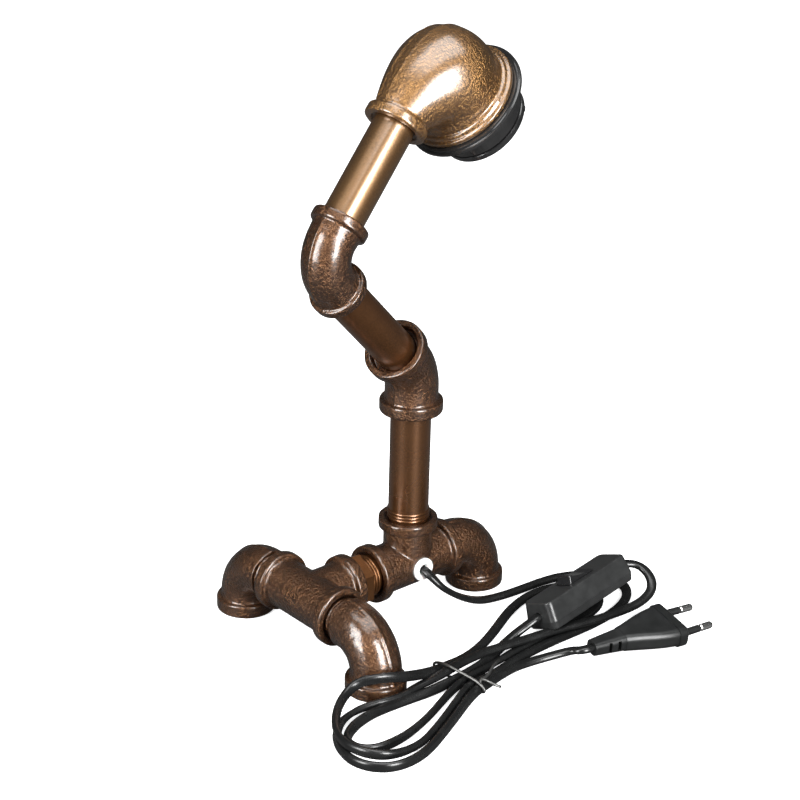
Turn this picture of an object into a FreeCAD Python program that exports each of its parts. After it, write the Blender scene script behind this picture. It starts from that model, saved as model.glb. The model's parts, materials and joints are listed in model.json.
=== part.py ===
import FreeCAD, Part
import math
import os

# Industrial pipe table lamp, in millimetres, +Z up. The lamp stands on the mouths of
# three street elbows at Z = 0. The spine runs along Y: a cross tee at the back (+Y), a
# hex nipple, and the post tee, with the third foot at the front (-Y). The post carries a
# swing arm of screwed pipe and the lampholder looks forward and down.

V = FreeCAD.Vector
ORIGIN = V(0, 0, 0)
X_AXIS = V(1, 0, 0)
Y_AXIS = V(0, 1, 0)
Z_AXIS = V(0, 0, 1)

# ---- half-inch gas pipe and its screwed joints ----
PIPE_D = 21.3
PIPE_BORE_D = 16.1
THREAD_D = 20.9
THREAD_PITCH = 1.814
THREAD_BEAD_R = 0.72
FIT = 0.05
WATERWAY_D = 17.4
SEAM_PROUD = 0.5
SEAM_W = 1.3

# ---- where the post stands, measured from under the middle of the lamp ----
POST_Y = -9.0

# ---- tees ----
TEE_REACH = 26.85
TEE_BODY_D = 26.0
TEE_BRANCH_D = 25.8
TEE_BRANCH_BORE_D = 17.2
TEE_BAND_D = 31.4
TEE_BAND_W = 5.8
TEE_SOCKET = 15.2
TEE_MOUTH_D = 24.4
TEE_MOUTH_DEPTH = 1.6

# ---- street elbows used as feet ----
FOOT_REACH = 28.0
FOOT_BODY_D = 26.4
FOOT_BAND_D = 31.4
FOOT_BAND_W = 7.2
FOOT_BEND_R = 18.5
FOOT_SOCKET = 14.5
FOOT_SPIGOT_REACH = 37.0
FOOT_NECK_LENGTH = 3.6
FOOT_RINGS = 3
FOOT_BORE_D = 15.6
SIDE_ENGAGE = 10.1
FRONT_ENGAGE = 14.6

# ---- hex nipple between the tees ----
TEE_GAP = 12.5
HEX_ACROSS_FLATS = 24.6
HEX_W = 5.6
NIPPLE_ENGAGE = 11.0
NIPPLE_BORE_D = 15.0

# ---- post ----
POST_LENGTH = 61.4
POST_ENGAGE = 12.5
POST_RINGS = 3

# ---- 45 degree elbow ----
ELBOW_45_REACH = 23.0
ELBOW_45_ANGLE = 45.0
ELBOW_45_BEND_R = 24.0
ELBOW_45_BODY_D = 28.0
ELBOW_45_BAND_D = 33.2
ELBOW_45_BAND_W = 6.6
ELBOW_45_SOCKET = 12.8
ELBOW_45_MOUTH_D = 26.2
ELBOW_45_MOUTH_DEPTH = 4.2

# ---- mid pipe, 90 degree elbow and upper pipe ----
MID_LENGTH = 61.8
MID_ENGAGE = 12.3
ELBOW_90_REACH = 26.1
ELBOW_90_ANGLE = 90.0
ELBOW_90_BEND_R = 17.0
ELBOW_90_BODY_D = 25.0
ELBOW_90_BAND_D = 29.4
ELBOW_90_BAND_W = 5.4
ELBOW_90_SOCKET = 13.0
UPPER_LENGTH = 52.9
UPPER_ENGAGE = 12.5
UPPER_RINGS = 0
HEAD_ENGAGE = 12.5

# ---- reducing elbow, the lamp head ----
HEAD_REACH = 37.5
HEAD_COLLAR_D = 32.3
HEAD_COLLAR_W = 5.6
HEAD_NECK_D = 27.0
HEAD_SOCKET = 13.5
HEAD_MOUTH_REACH = 30.5
HEAD_MOUTH_BAND_D = 59.6
HEAD_MOUTH_BAND_W = 3.0
HEAD_BEAD_D = 55.8
HEAD_BEAD_R = 1.2
HEAD_BEAD_DEPTH = 3.9
HEAD_SHOULDER_W = 7.5
HEAD_WALL = 3.2
HEAD_THREAD_D = 46.5
HEAD_THREAD_L = 12.0
HEAD_ELBOW_ANGLE = 90.0
# each row: degrees round the bend, width of the bulb there, shift out from the bend
HEAD_SECTIONS = ((0, HEAD_NECK_D, 0), (30, 36.7, -0.6), (62, 50.1, 3.8), (90, 51.1, 0))

# ---- how the arm is turned at rest, in degrees ----
ARM_TURN = 12.0
MID_TURN = 178.9
HEAD_TURN = -8.4

# ---- lampholder, screwed into the head's mouth ----
HOLDER_SEAT_GAP = 0.15
HOLDER_RIM_D = 62.7
HOLDER_RIM_H = 1.6
HOLDER_COLLAR_D = 64.8
HOLDER_COLLAR_H = 3.85
HOLDER_NECK_D = 46.6
HOLDER_NECK_H = 14.4
HOLDER_SPIGOT_L = 8.0
HOLDER_BORE_D = 29.2
HOLDER_LEDGE_Z = 3.0
HOLDER_WALL = 1.3
HOLDER_CAVITY_D = HEAD_THREAD_D - 2 * (FIT + HOLDER_WALL)
CORE_H = 8.4
SHELL_BORE_D = 26.6
SHELL_WALL = 0.4
SHELL_LENGTH = 19.0
SHELL_STEP_H = 4.6
SHELL_THROAT_D = SHELL_BORE_D - 2.0
CONTACT_T = 0.5
CONTACT_W = 6.0
RING_D = 47.4
RING_WALL = 2.25
RING_H = 3.6
RING_GAP = 0.6
RING_TAB_W = 3.0
RING_TAB_PROUD = 0.5
RING_TAB_TURN = -27.0
HOLDER_NOSE_D = RING_D - 2 * (RING_WALL + FIT)
HOLDER_NOSE_H = RING_GAP + RING_H - 0.3
CORE_SCREW_R = HOLDER_CAVITY_D / 2 - 4.0
SCREW_D = 3.0
SCREW_HEAD_D = 5.4
SCREW_HEAD_H = 1.6
SCREW_SLOT = 0.7
TERMINAL_R = 10.5
LEAD_D = 1.9

# ---- cord, its grommet and anchor ----
CORD_D = 4.6
CORD_END_Z = 22.0
CORD_HOLE_CLEARANCE = 0.1
SWIVEL_GAP = 0.1
GROMMET_D = 12.6
GROMMET_HEAD_H = 1.9
GROMMET_SHANK_D = 9.4
GROMMET_LENGTH = 6.2
ANCHOR_D = 8.6
ANCHOR_H = 3.0
RUN_SHARE = 0.45

# ---- in-line switch ----
SWITCH_AT = V(-63.4, -75.4, 14.1)
SWITCH_YAW = -84.2
SWITCH_PITCH = -5.5
SWITCH_ROLL = -22.0
SWITCH_L = 66.0
SWITCH_W = 21.6
SWITCH_H = 15.0
SWITCH_DRAFT = 1.3
SWITCH_CORNER_R = 3.4
SWITCH_LOWER_H = 4.4
SWITCH_WALL = 1.8
SHELL_SEAM = 0.05
ROCKER_L = 18.0
ROCKER_W = 10.0
ROCKER_TILT = 12.0
ROCKER_PROUD = 3.4
ROCKER_DISH = 1.5
ROCKER_PIVOT_DEPTH = 3.6
ROCKER_DEPTH = 3.0
ROCKER_PIN_D = 2.4
ROCKER_NOSE_D = 2.2
ROCKER_WINDOW_L = 20.6
ROCKER_WINDOW_W = 10.6
CASE_SCREW_X = 27.0
CASE_SCREW_Y = 6.4
SEESAW_L = 12.0
SEESAW_W = 4.0
SEESAW_T = 0.8
SEESAW_RISE = 0.5
SEESAW_GAP = 0.15
SEESAW_HUB_D = 1.4
SEESAW_TILT = 5.0
TONGUE_L = 4.4
TONGUE_W = 2.4
TERMINAL_L = 11.0
TERMINAL_W = 4.6
TERMINAL_H = 4.0
TERMINAL_X = 14.0
NEUTRAL_LINK_L = 34.0

# ---- plug ----
PLUG_AT = V(-111.0, -98.7, 7.2)
PLUG_YAW = -100.0
PLUG_ROLL = 6.0
PLUG_W = 29.0
PLUG_T = 11.6
PLUG_FRONT_L = 5.5
PLUG_BODY_L = 34.0
PLUG_NECK_W = 12.6
PLUG_NECK_T = 10.0
BOOT_L = 18.0
BOOT_END_W = 8.4
BOOT_END_T = 7.4
BOOT_SLOT_W = 1.8
BOOT_SLOT_PITCH = 5.4
PIN_D = 4.0
PIN_LENGTH = 19.0
PIN_SLEEVE_L = 10.0
PIN_CORE_D = 2.8
PIN_SPACING = 18.6
PIN_TOE = 1.66
PIN_ROOT_L = 8.0

# ---- tied hank of spare cord, lying beside the left foot ----
HANK_TOP = 8.8
HANK_BOTTOM = 1.7
HANK_TIE_Y = 21.0
HANK_NECK_X = (-93.6, -61.6)
TIE_WIRE_D = 1.2
TIE_CLEARANCE = 0.15
HANK_OUTLINE = [
    (-93.6, 16), (-93.6, 27), (-102, 44), (-112, 60), (-119, 76), (-121, 91),
    (-117, 104), (-106, 112), (-91, 112), (-77, 105.5), (-66, 97), (-58.5, 88),
    (-58.5, 79), (-65, 72), (-70.4, 62), (-70.2, 51), (-65.5, 40), (-61.6, 28),
    (-61.6, 16),
]
HANK_OPENING = [
    (-83, 46), (-78.5, 58), (-77, 71), (-78.5, 84), (-84, 94), (-91, 98.5),
    (-97, 94), (-98.3, 84), (-95.5, 71), (-90, 57.5),
]

# ---- cord routes on the table; each list starts where the cord leaves the last piece ----
LAMP_CORD_TABLE = [
    (-18, -9, 28), (-23, -14, 19.4), (-22.4, -23.5, 12), (-22.4, -34, 5.8),
    (-25, -45.5, 2.5), (-27.6, -58, 2.5), (-28.6, -70, 2.5),
    (-29, -82, 2.5), (-31.5, -94, 2.5), (-38, -105.5, 2.5), (-48, -113.5, 2.5),
    (-59.5, -115, 2.5), (-68.5, -109, 2.5), (-74.5, -99, 2.5), (-78, -86, 2.5),
    (-79.8, -71, 2.5), (-79.6, -56, 2.5), (-79.2, -41, 2.5), (-79.4, -26, 2.5),
    (-80.8, -12, 2.6), (-83.4, 2, 3.2), (-83.6, 16, 4.2),
]
RETURN_LOOP = [
    (-64.8, 16, 4.2), (-64, 6, 3.4), (-61, -6, 2.7), (-55.6, -19, 2.5),
    (-49, -32, 2.5), (-42, -45, 2.5), (-37.6, -58, 2.5), (-36, -71, 2.5),
    (-38.4, -84, 2.5), (-46, -94, 2.5), (-57, -96.5, 2.5), (-66.5, -90, 2.5),
    (-71, -78, 2.5), (-72, -63, 2.5), (-72.4, -47, 2.5), (-73.2, -30, 2.5),
    (-75.4, -13, 2.6), (-78.6, 3, 3.2), (-78.9, 16, 4.2),
]
SWITCH_CORD_TABLE = [
    (-66, -29.5, 7), (-66, -19.5, 3.6), (-70, -9, 2.7), (-73.8, 3, 3.2),
    (-74.2, 16, 4.2),
]
PLUG_CORD_TABLE = [
    (-65.5, -120, 16.4), (-75, -119, 12.8), (-82.5, -112, 10.4),
    (-85.8, -102, 8.6), (-86.6, -90, 7.6), (-85.8, -76, 7.4), (-83.6, -61, 7.3),
    (-80.8, -46, 7.2), (-77.6, -31, 7.3), (-74.6, -17, 7.6), (-70.6, -5, 7.8),
    (-69.2, 5, 6.8), (-69.5, 16, 4.2),
]
PLUG_LEAD_TABLE = [
    (-97.4, -36, 4.4), (-92, -27, 2.6), (-88.8, -17, 2.5), (-87.6, -6, 2.6),
    (-89.2, 5, 3.2), (-90.3, 16, 4.2),
]

os.makedirs("parts", exist_ok=True)


# ---------------------------------------------------------------- shared shapes
def place(at, rotation=None):
    """A place in space: a point and a turn."""
    return FreeCAD.Placement(at, rotation or FreeCAD.Rotation())


def turn(axis, degrees):
    """A turn about an axis through the origin."""
    return FreeCAD.Rotation(axis, degrees)


def set_at(shape, where):
    """A copy of a shape, carried from its own frame to a place."""
    copy = shape.copy()
    copy.Placement = where.multiply(copy.Placement)
    return copy


def joined(*shapes):
    """One solid out of shapes that meet."""
    return shapes[0].fuse(list(shapes[1:])).removeSplitter()


def rod(diameter, low, high):
    """A cylinder on Z between two heights."""
    return Part.makeCylinder(diameter / 2, high - low, V(0, 0, low))


def hollow(outer_d, inner_d, low, high):
    """A plain ring on Z between two heights."""
    return rod(outer_d, low, high).cut(rod(inner_d, low - 1, high + 1))


def rounded_rod(diameter, low, high, edge):
    """A cylinder on Z with both rims rounded."""
    body = rod(diameter, low, high)
    rims = [item for item in body.Edges if isinstance(item.Curve, Part.Circle)]
    return body.makeFillet(edge, rims)


def turned(profile):
    """A solid of revolution about Z from (diameter, height) corners."""
    corners = [V(diameter / 2, 0, height) for diameter, height in profile]
    corners.append(corners[0])
    return Part.Face(Part.makePolygon(corners)).revolve(ORIGIN, Z_AXIS, 360)


def block(length, width, height, at=ORIGIN):
    """A box centred on a point."""
    low = V(at.x - length / 2, at.y - width / 2, at.z - height / 2)
    return Part.makeBox(length, width, height, low)


def bend_tangent(bend_r, angle):
    """How far a bend's ends lie from the corner of its axes."""
    return bend_r * math.tan(math.radians(angle) / 2)


def bent_rod(reach_in, reach_out, angle, bend_r, diameter, overrun=0.0):
    """A round bar up Z from the origin that turns towards +Y by an angle."""
    tangent = bend_tangent(bend_r, angle)
    start = reach_in - tangent
    ring = Part.makeTorus(bend_r, diameter / 2, ORIGIN, Z_AXIS, -180, 180, angle)
    stand = FreeCAD.Rotation(V(0, -1, 0), Z_AXIS, V(-1, 0, 0))
    ring = set_at(ring, place(V(0, bend_r, start), stand))
    leg_in = rod(diameter, -overrun, start)
    leg_out = rod(diameter, tangent, reach_out + overrun)
    leg_out = set_at(leg_out, place(V(0, 0, reach_in), turn(X_AXIS, -angle)))
    return joined(leg_in, ring, leg_out)


def outlet(reach_in, reach_out, angle):
    """The place of an elbow's far face, with Z out of it."""
    tilt = turn(X_AXIS, -angle)
    return place(V(0, 0, reach_in).add(tilt.multVec(V(0, 0, reach_out))), tilt)


def flipped(where):
    """The same place with its Z turned back into the fitting."""
    return where.multiply(place(ORIGIN, turn(X_AXIS, 180)))


def band(diameter, width):
    """A fitting's raised band, from its face at Z = 0 up."""
    return rounded_rod(diameter, 0, width, 0.9)


def socket(depth, mouth_d, mouth_depth):
    """What a threaded mouth takes out of a fitting, from its face at Z = 0 up."""
    hole = rod(THREAD_D + 2 * FIT, -1, depth)
    mouth = rod(mouth_d, -1, mouth_depth)
    return joined(hole, mouth)


def thread_rings(count):
    """The last turns of a pipe thread that stand out of a fitting, from Z = 0 up."""
    rings = []
    for index in range(count):
        height = THREAD_PITCH * (index + 0.55)
        rings.append(Part.makeTorus(PIPE_D / 2 - 0.15, THREAD_BEAD_R, V(0, 0, height)))
    return rings


def pipe(length, engage_low, engage_high, rings):
    """A pipe from face to face, with a spigot at each end inside its fitting."""
    parts = [
        rod(PIPE_D, 0, length),
        rod(THREAD_D, -engage_low, 0),
        rod(THREAD_D, length, length + engage_high),
    ]
    parts += thread_rings(rings)
    body = joined(*parts)
    return body.cut(rod(PIPE_BORE_D, -engage_low - 1, length + engage_high + 1))


def seam_slab(shape):
    """The thin upright slice of a grown shape that stands for a casting seam."""
    box = shape.BoundBox
    slab = block(SEAM_W, box.YLength + 2, box.ZLength + 2, box.Center)
    return shape.common(slab)


# ---------------------------------------------------------------- base
def tee():
    """A tee with its run along Y, its branch up and its centre at the origin."""
    run = set_at(rod(TEE_BODY_D, -TEE_REACH, TEE_REACH), place(ORIGIN, turn(X_AXIS, 90)))
    branch = rod(TEE_BRANCH_D, 0, TEE_REACH)
    ends = [turn(X_AXIS, 180), turn(X_AXIS, 90), turn(X_AXIS, -90)]
    solid = [run, branch]
    cuts = [
        set_at(rod(WATERWAY_D, -TEE_REACH, TEE_REACH), place(ORIGIN, turn(X_AXIS, 90))),
        rod(TEE_BRANCH_BORE_D, 0, TEE_REACH),
    ]
    for end in ends:
        face = place(end.multVec(V(0, 0, -TEE_REACH)), end)
        solid.append(set_at(band(TEE_BAND_D, TEE_BAND_W), face))
        cuts.append(set_at(socket(TEE_SOCKET, TEE_MOUTH_D, TEE_MOUTH_DEPTH), face))
    return joined(*solid).cut(joined(*cuts))


def post_tee_place():
    """The post tee's centre."""
    return place(V(0, POST_Y, FOOT_REACH))


def cross_tee_place():
    """The cross tee's centre, with its branch towards the post tee."""
    lie = turn(X_AXIS, 90).multiply(turn(Z_AXIS, 90))
    return place(V(0, POST_Y + 2 * TEE_REACH + TEE_GAP, FOOT_REACH), lie)


def grommet_place():
    """The middle of the grommet's seat on the post tee's side, with Z out of it."""
    at = V(-TEE_BODY_D / 2, POST_Y, FOOT_REACH)
    return place(at, turn(Y_AXIS, -90))


def post_tee():
    """The post tee, with a flat and a hole in its side for the grommet."""
    where = grommet_place()
    flat = set_at(rod(GROMMET_D + 0.6, 0, 4), where.multiply(place(V(0, 0, -0.8))))
    hole = set_at(rod(GROMMET_SHANK_D + 2 * FIT, -6, 2), where)
    return set_at(tee(), post_tee_place()).cut(joined(flat, hole))


def foot_elbow(ring_count):
    """A street elbow: its mouth rests on Z = 0, its spigot points to +Y."""
    straight = bend_tangent(FOOT_BEND_R, 90) + FOOT_NECK_LENGTH
    body = bent_rod(FOOT_REACH, straight, 90, FOOT_BEND_R, FOOT_BODY_D)
    far = outlet(FOOT_REACH, 0, 90)
    spigot = set_at(rod(THREAD_D, straight, FOOT_SPIGOT_REACH), far)
    rings = []
    for ring in thread_rings(ring_count):
        rings.append(set_at(ring, far.multiply(place(V(0, 0, straight)))))
    seam = seam_slab(
        bent_rod(FOOT_REACH, straight, 90, FOOT_BEND_R, FOOT_BODY_D + 2 * SEAM_PROUD)
    )
    solid = joined(body, seam, spigot, band(FOOT_BAND_D, FOOT_BAND_W), *rings)
    bore = bent_rod(FOOT_REACH, FOOT_SPIGOT_REACH, 90, FOOT_BEND_R, FOOT_BORE_D, 1)
    return solid.cut(joined(bore, socket(FOOT_SOCKET, TEE_MOUTH_D, TEE_MOUTH_DEPTH)))


def foot_places():
    """Each foot's place: its name, and where its axis meets the table."""
    side = TEE_REACH + FOOT_SPIGOT_REACH - SIDE_ENGAGE
    front = TEE_REACH + FOOT_SPIGOT_REACH - FRONT_ENGAGE
    back_y = cross_tee_place().Base.y
    return {
        "left": place(V(-side, back_y, 0), turn(Z_AXIS, -90)),
        "right": place(V(side, back_y, 0), turn(Z_AXIS, 90)),
        "front": place(V(0, POST_Y - front, 0)),
    }


def hex_nipple():
    """The nipple that joins the two tees, along Y from the post tee's face."""
    radius = HEX_ACROSS_FLATS / math.sqrt(3)
    corners = []
    for index in range(7):
        angle = math.radians(60 * index + 30)
        corners.append(V(radius * math.cos(angle), radius * math.sin(angle), 0))
    low = TEE_GAP - HEX_W - 0.8
    hexagon = Part.Face(Part.makePolygon(corners)).extrude(V(0, 0, HEX_W))
    hexagon.translate(V(0, 0, low))
    parts = [hexagon, rod(THREAD_D, -NIPPLE_ENGAGE, TEE_GAP + NIPPLE_ENGAGE)]
    parts += thread_rings(3)
    bore = rod(NIPPLE_BORE_D, -NIPPLE_ENGAGE - 1, TEE_GAP + NIPPLE_ENGAGE + 1)
    at = V(0, POST_Y + TEE_REACH, FOOT_REACH)
    return set_at(joined(*parts).cut(bore), place(at, turn(X_AXIS, -90)))


# ---------------------------------------------------------------- the chain of the arm
def post_place():
    """The post tee's top face."""
    return place(V(0, POST_Y, FOOT_REACH + TEE_REACH))


def elbow_45_place():
    """The 45 degree elbow's lower face, turned on the post."""
    up = place(V(0, 0, POST_LENGTH), turn(Z_AXIS, ARM_TURN))
    return post_place().multiply(up)


def mid_place():
    """The 45 degree elbow's upper face, turned with the mid pipe."""
    far = outlet(ELBOW_45_REACH, ELBOW_45_REACH, ELBOW_45_ANGLE)
    return elbow_45_place().multiply(far).multiply(place(ORIGIN, turn(Z_AXIS, MID_TURN)))


def elbow_90_place():
    """The 90 degree elbow's lower face."""
    return mid_place().multiply(place(V(0, 0, MID_LENGTH)))


def upper_place():
    """The 90 degree elbow's upper face."""
    return elbow_90_place().multiply(
        outlet(ELBOW_90_REACH, ELBOW_90_REACH, ELBOW_90_ANGLE)
    )


def head_place():
    """The head's small face, turned on the upper pipe."""
    far = place(V(0, 0, UPPER_LENGTH), turn(Z_AXIS, HEAD_TURN))
    return upper_place().multiply(far)


def mouth_place():
    """The head's mouth, with Z out of it."""
    return head_place().multiply(outlet(HEAD_REACH, HEAD_MOUTH_REACH, HEAD_ELBOW_ANGLE))


def elbow(reach, angle, bend_r, body_d, band_d, band_w, sockets):
    """A cast elbow with a band at each face and its lower face at the origin."""
    far = flipped(outlet(reach, reach, angle))
    seam = seam_slab(bent_rod(reach, reach, angle, bend_r, body_d + 2 * SEAM_PROUD))
    solid = joined(
        bent_rod(reach, reach, angle, bend_r, body_d),
        seam,
        band(band_d, band_w),
        set_at(band(band_d, band_w), far),
    )
    bore = bent_rod(reach, reach, angle, bend_r, WATERWAY_D, 1)
    low, high = sockets
    return solid.cut(joined(bore, socket(*low), set_at(socket(*high), far)))


def elbow_45():
    """The elbow that leans the arm back."""
    low = (ELBOW_45_SOCKET, TEE_MOUTH_D, TEE_MOUTH_DEPTH)
    high = (ELBOW_45_SOCKET, ELBOW_45_MOUTH_D, ELBOW_45_MOUTH_DEPTH)
    return elbow(
        ELBOW_45_REACH, ELBOW_45_ANGLE, ELBOW_45_BEND_R, ELBOW_45_BODY_D,
        ELBOW_45_BAND_D, ELBOW_45_BAND_W, (low, high),
    )


def elbow_90():
    """The elbow at the top of the arm."""
    mouth = (ELBOW_90_SOCKET, TEE_MOUTH_D, TEE_MOUTH_DEPTH)
    return elbow(
        ELBOW_90_REACH, ELBOW_90_ANGLE, ELBOW_90_BEND_R, ELBOW_90_BODY_D,
        ELBOW_90_BAND_D, ELBOW_90_BAND_W, (mouth, mouth),
    )


# ---------------------------------------------------------------- head
def head_skin(neck_d, inset):
    """The bulb of the head from inside its collar to inside its shoulder."""
    pivot_z = HEAD_COLLAR_W - 1
    pivot_y = HEAD_MOUTH_REACH - HEAD_SHOULDER_W
    last_arm = HEAD_REACH - pivot_z
    sections = []
    for angle, width, shift in HEAD_SECTIONS:
        arm = pivot_y + (last_arm - pivot_y) * angle / HEAD_ELBOW_ANGLE + shift
        radius = width / 2 - inset if angle else neck_d / 2
        tilt = math.radians(angle)
        centre = V(0, pivot_y - arm * math.cos(tilt), pivot_z + arm * math.sin(tilt))
        ring = Part.makeCircle(radius, ORIGIN, Z_AXIS)
        sections.append(Part.Wire(set_at(ring, place(centre, turn(X_AXIS, -angle)))))
    return Part.makeLoft(sections, True)


def head_elbow():
    """The reducing elbow: small collar at the origin, wide mouth towards +Y."""
    far = flipped(outlet(HEAD_REACH, HEAD_MOUTH_REACH, HEAD_ELBOW_ANGLE))
    bead_at = V(0, 0, HEAD_BEAD_DEPTH)
    bead = Part.makeTorus(HEAD_BEAD_D / 2 - HEAD_BEAD_R, HEAD_BEAD_R, bead_at)
    shoulder = joined(
        band(HEAD_MOUTH_BAND_D, HEAD_MOUTH_BAND_W),
        rod(HEAD_SECTIONS[-1][1] + 1, 0.5, HEAD_SHOULDER_W + 0.6),
        bead,
    )
    seam = head_skin(HEAD_NECK_D + 2 * SEAM_PROUD, -SEAM_PROUD)
    solid = band(HEAD_COLLAR_D, HEAD_COLLAR_W)
    for piece in (head_skin(HEAD_NECK_D, 0), seam_slab(seam), set_at(shoulder, far)):
        solid = solid.fuse(piece)
    mouth = set_at(rod(HEAD_THREAD_D, -1, HEAD_THREAD_L), far)
    small = socket(HEAD_SOCKET, TEE_MOUTH_D, TEE_MOUTH_DEPTH)
    for room in (head_skin(WATERWAY_D, HEAD_WALL), mouth, small):
        solid = solid.cut(room)
    return solid


def lampholder_body():
    """The black moulding: a spigot in the mouth, a collar, a neck and a nose."""
    seat = HOLDER_SEAT_GAP
    collar = seat + HOLDER_COLLAR_H
    neck = collar + HOLDER_NECK_H
    nose = neck + HOLDER_NOSE_H
    spigot_d = HEAD_THREAD_D - 2 * FIT
    return turned([
        (spigot_d, -HOLDER_SPIGOT_L), (spigot_d, seat),
        (HOLDER_RIM_D, seat), (HOLDER_RIM_D, seat + HOLDER_RIM_H),
        (HOLDER_COLLAR_D, seat + HOLDER_RIM_H + 0.3),
        (HOLDER_COLLAR_D, collar - 0.4), (HOLDER_COLLAR_D - 0.8, collar),
        (HOLDER_NECK_D, collar), (HOLDER_NECK_D, neck - 0.4), (HOLDER_NECK_D - 0.8, neck),
        (HOLDER_NOSE_D, neck), (HOLDER_NOSE_D, nose - 0.5), (HOLDER_NOSE_D - 1, nose),
        (HOLDER_BORE_D + 1.6, nose), (HOLDER_BORE_D, nose - 0.8),
        (HOLDER_BORE_D, HOLDER_LEDGE_Z), (HOLDER_CAVITY_D, HOLDER_LEDGE_Z),
        (HOLDER_CAVITY_D, -HOLDER_SPIGOT_L),
    ])


def shade_ring():
    """The ring that clamps a shade on the lampholder's nose, with its small tab."""
    low = HOLDER_SEAT_GAP + HOLDER_COLLAR_H + HOLDER_NECK_H + RING_GAP
    high = low + RING_H
    inner = HOLDER_NOSE_D + 2 * FIT
    ring = turned([
        (inner, low), (RING_D - 0.8, low), (RING_D, low + 0.4),
        (RING_D, high - 0.5), (RING_D - 1, high), (inner, high),
    ])
    reach = RING_D / 2 + RING_TAB_PROUD
    tab = Part.makeBox(2, RING_TAB_W, RING_H - 1.2, V(reach - 2, -RING_TAB_W / 2, low + 0.5))
    return joined(ring, set_at(tab, place(ORIGIN, turn(Z_AXIS, RING_TAB_TURN))))


def core_front():
    """Height of the insulating core's front face in the mouth's frame."""
    return HOLDER_LEDGE_Z


def core_screw_places():
    """The two screws that hold the core against the holder's ledge."""
    return [V(0, CORE_SCREW_R, 0), V(0, -CORE_SCREW_R, 0)]


def terminal_places():
    """The two terminal screws on the core's back."""
    return [V(TERMINAL_R, 0, 0), V(-TERMINAL_R, 0, 0)]


def lampholder_core():
    """The insulating core that carries the screw shell and the contacts."""
    front = core_front()
    back = front - CORE_H
    body = rod(HOLDER_CAVITY_D - 2 * FIT, back, front)
    for at in core_screw_places() + terminal_places():
        hole = rod(SCREW_D + 2 * FIT, back - 1, front + 1)
        hole.translate(at)
        body = body.cut(hole)
    return body


def screw(head_at, length):
    """A slotted screw: its head stands below head_at, its shank goes up from it."""
    head = rounded_rod(SCREW_HEAD_D, -SCREW_HEAD_H, 0, 0.3)
    slot = block(SCREW_HEAD_D + 1, SCREW_SLOT, SCREW_HEAD_H, V(0, 0, -1.4 * SCREW_HEAD_H))
    shape = joined(head, rod(SCREW_D, 0, length)).cut(slot)
    shape.translate(head_at)
    return shape


def core_screws():
    """The two core screws, in the holder's ledge."""
    back = core_front() - CORE_H
    return Part.makeCompound(
        [screw(V(at.x, at.y, back), CORE_H) for at in core_screw_places()]
    )


def terminal_screws():
    """The two terminal screws, into the contacts' feet."""
    back = core_front() - CORE_H
    return Part.makeCompound(
        [screw(V(at.x, at.y, back), CORE_H - 0.4) for at in terminal_places()]
    )


def screw_shell():
    """The metal sleeve that takes the lamp's cap, with a narrower throat on the core."""
    front = core_front()
    step = front + SHELL_STEP_H
    top = front + SHELL_LENGTH
    outer = SHELL_BORE_D + 2 * SHELL_WALL
    throat_outer = SHELL_THROAT_D + 2 * SHELL_WALL
    return turned([
        (SHELL_THROAT_D, front), (throat_outer, front), (throat_outer, step - SHELL_WALL),
        (outer, step - SHELL_WALL), (outer, top), (SHELL_BORE_D, top),
        (SHELL_BORE_D, step), (SHELL_THROAT_D, step),
    ])


def centre_contact():
    """A bent bronze leaf that meets the cap's centre."""
    front = core_front()
    leaf = [
        V(-9.6, 0, front), V(-9.6, 0, front + CONTACT_T), V(-3.4, 0, front + CONTACT_T),
        V(2.4, 0, front + 3.6), V(4.4, 0, front + 3.2), V(4.2, 0, front + 2.7),
        V(2.4, 0, front + 3.0), V(-3.0, 0, front),
    ]
    leaf.append(leaf[0])
    solid = Part.Face(Part.makePolygon(leaf)).extrude(V(0, CONTACT_W, 0))
    solid.translate(V(0, -CONTACT_W / 2, 0))
    return solid


def side_contact():
    """The foot that carries the shell's terminal to the core."""
    front = core_front()
    inner = SHELL_BORE_D / 2 - 1.2
    return Part.makeBox(4.6, CONTACT_W, CONTACT_T, V(inner - 4.6, -CONTACT_W / 2, front))


# ---------------------------------------------------------------- cord
def cord_path(points, report=""):
    """Straight runs joined by tangent arcs, each as large as its two runs allow."""
    edges = []
    radii = []
    start = points[0]
    for before, corner, after in zip(points, points[1:], points[2:]):
        arrive = corner.sub(before)
        leave = after.sub(corner)
        half = arrive.getAngle(leave) / 2
        trim = RUN_SHARE * min(arrive.Length, leave.Length)
        radius = trim / math.tan(half)
        radii.append(radius)
        arrive.normalize()
        leave.normalize()
        enter = corner.sub(arrive * trim)
        exit_ = corner.add(leave * trim)
        inward = leave.sub(arrive)
        inward.normalize()
        middle = corner.add(inward * (radius / math.cos(half) - radius))
        edges.append(Part.LineSegment(start, enter).toShape())
        edges.append(Part.Arc(enter, middle, exit_).toShape())
        start = exit_
    edges.append(Part.LineSegment(start, points[-1]).toShape())
    wire = Part.Wire(edges)
    if report:
        print(f"{report}: {wire.Length:.0f} mm, least radius {min(radii):.1f} mm")
    return wire


def tube(points, diameter, report=""):
    """A round cord along its path."""
    wire = cord_path(points, report)
    heading = points[1].sub(points[0])
    ring = Part.Face(Part.Wire(Part.makeCircle(diameter / 2, points[0], heading)))
    solid = wire.makePipe(ring)
    if report:
        share = solid.Volume / (ring.Area * wire.Length)
        print(f"{report}: volume over section times length {share:.4f}")
    return solid


def carried(points, where):
    """Points of a local route, carried to a place."""
    return [where.multVec(V(*point)) for point in points]


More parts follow.
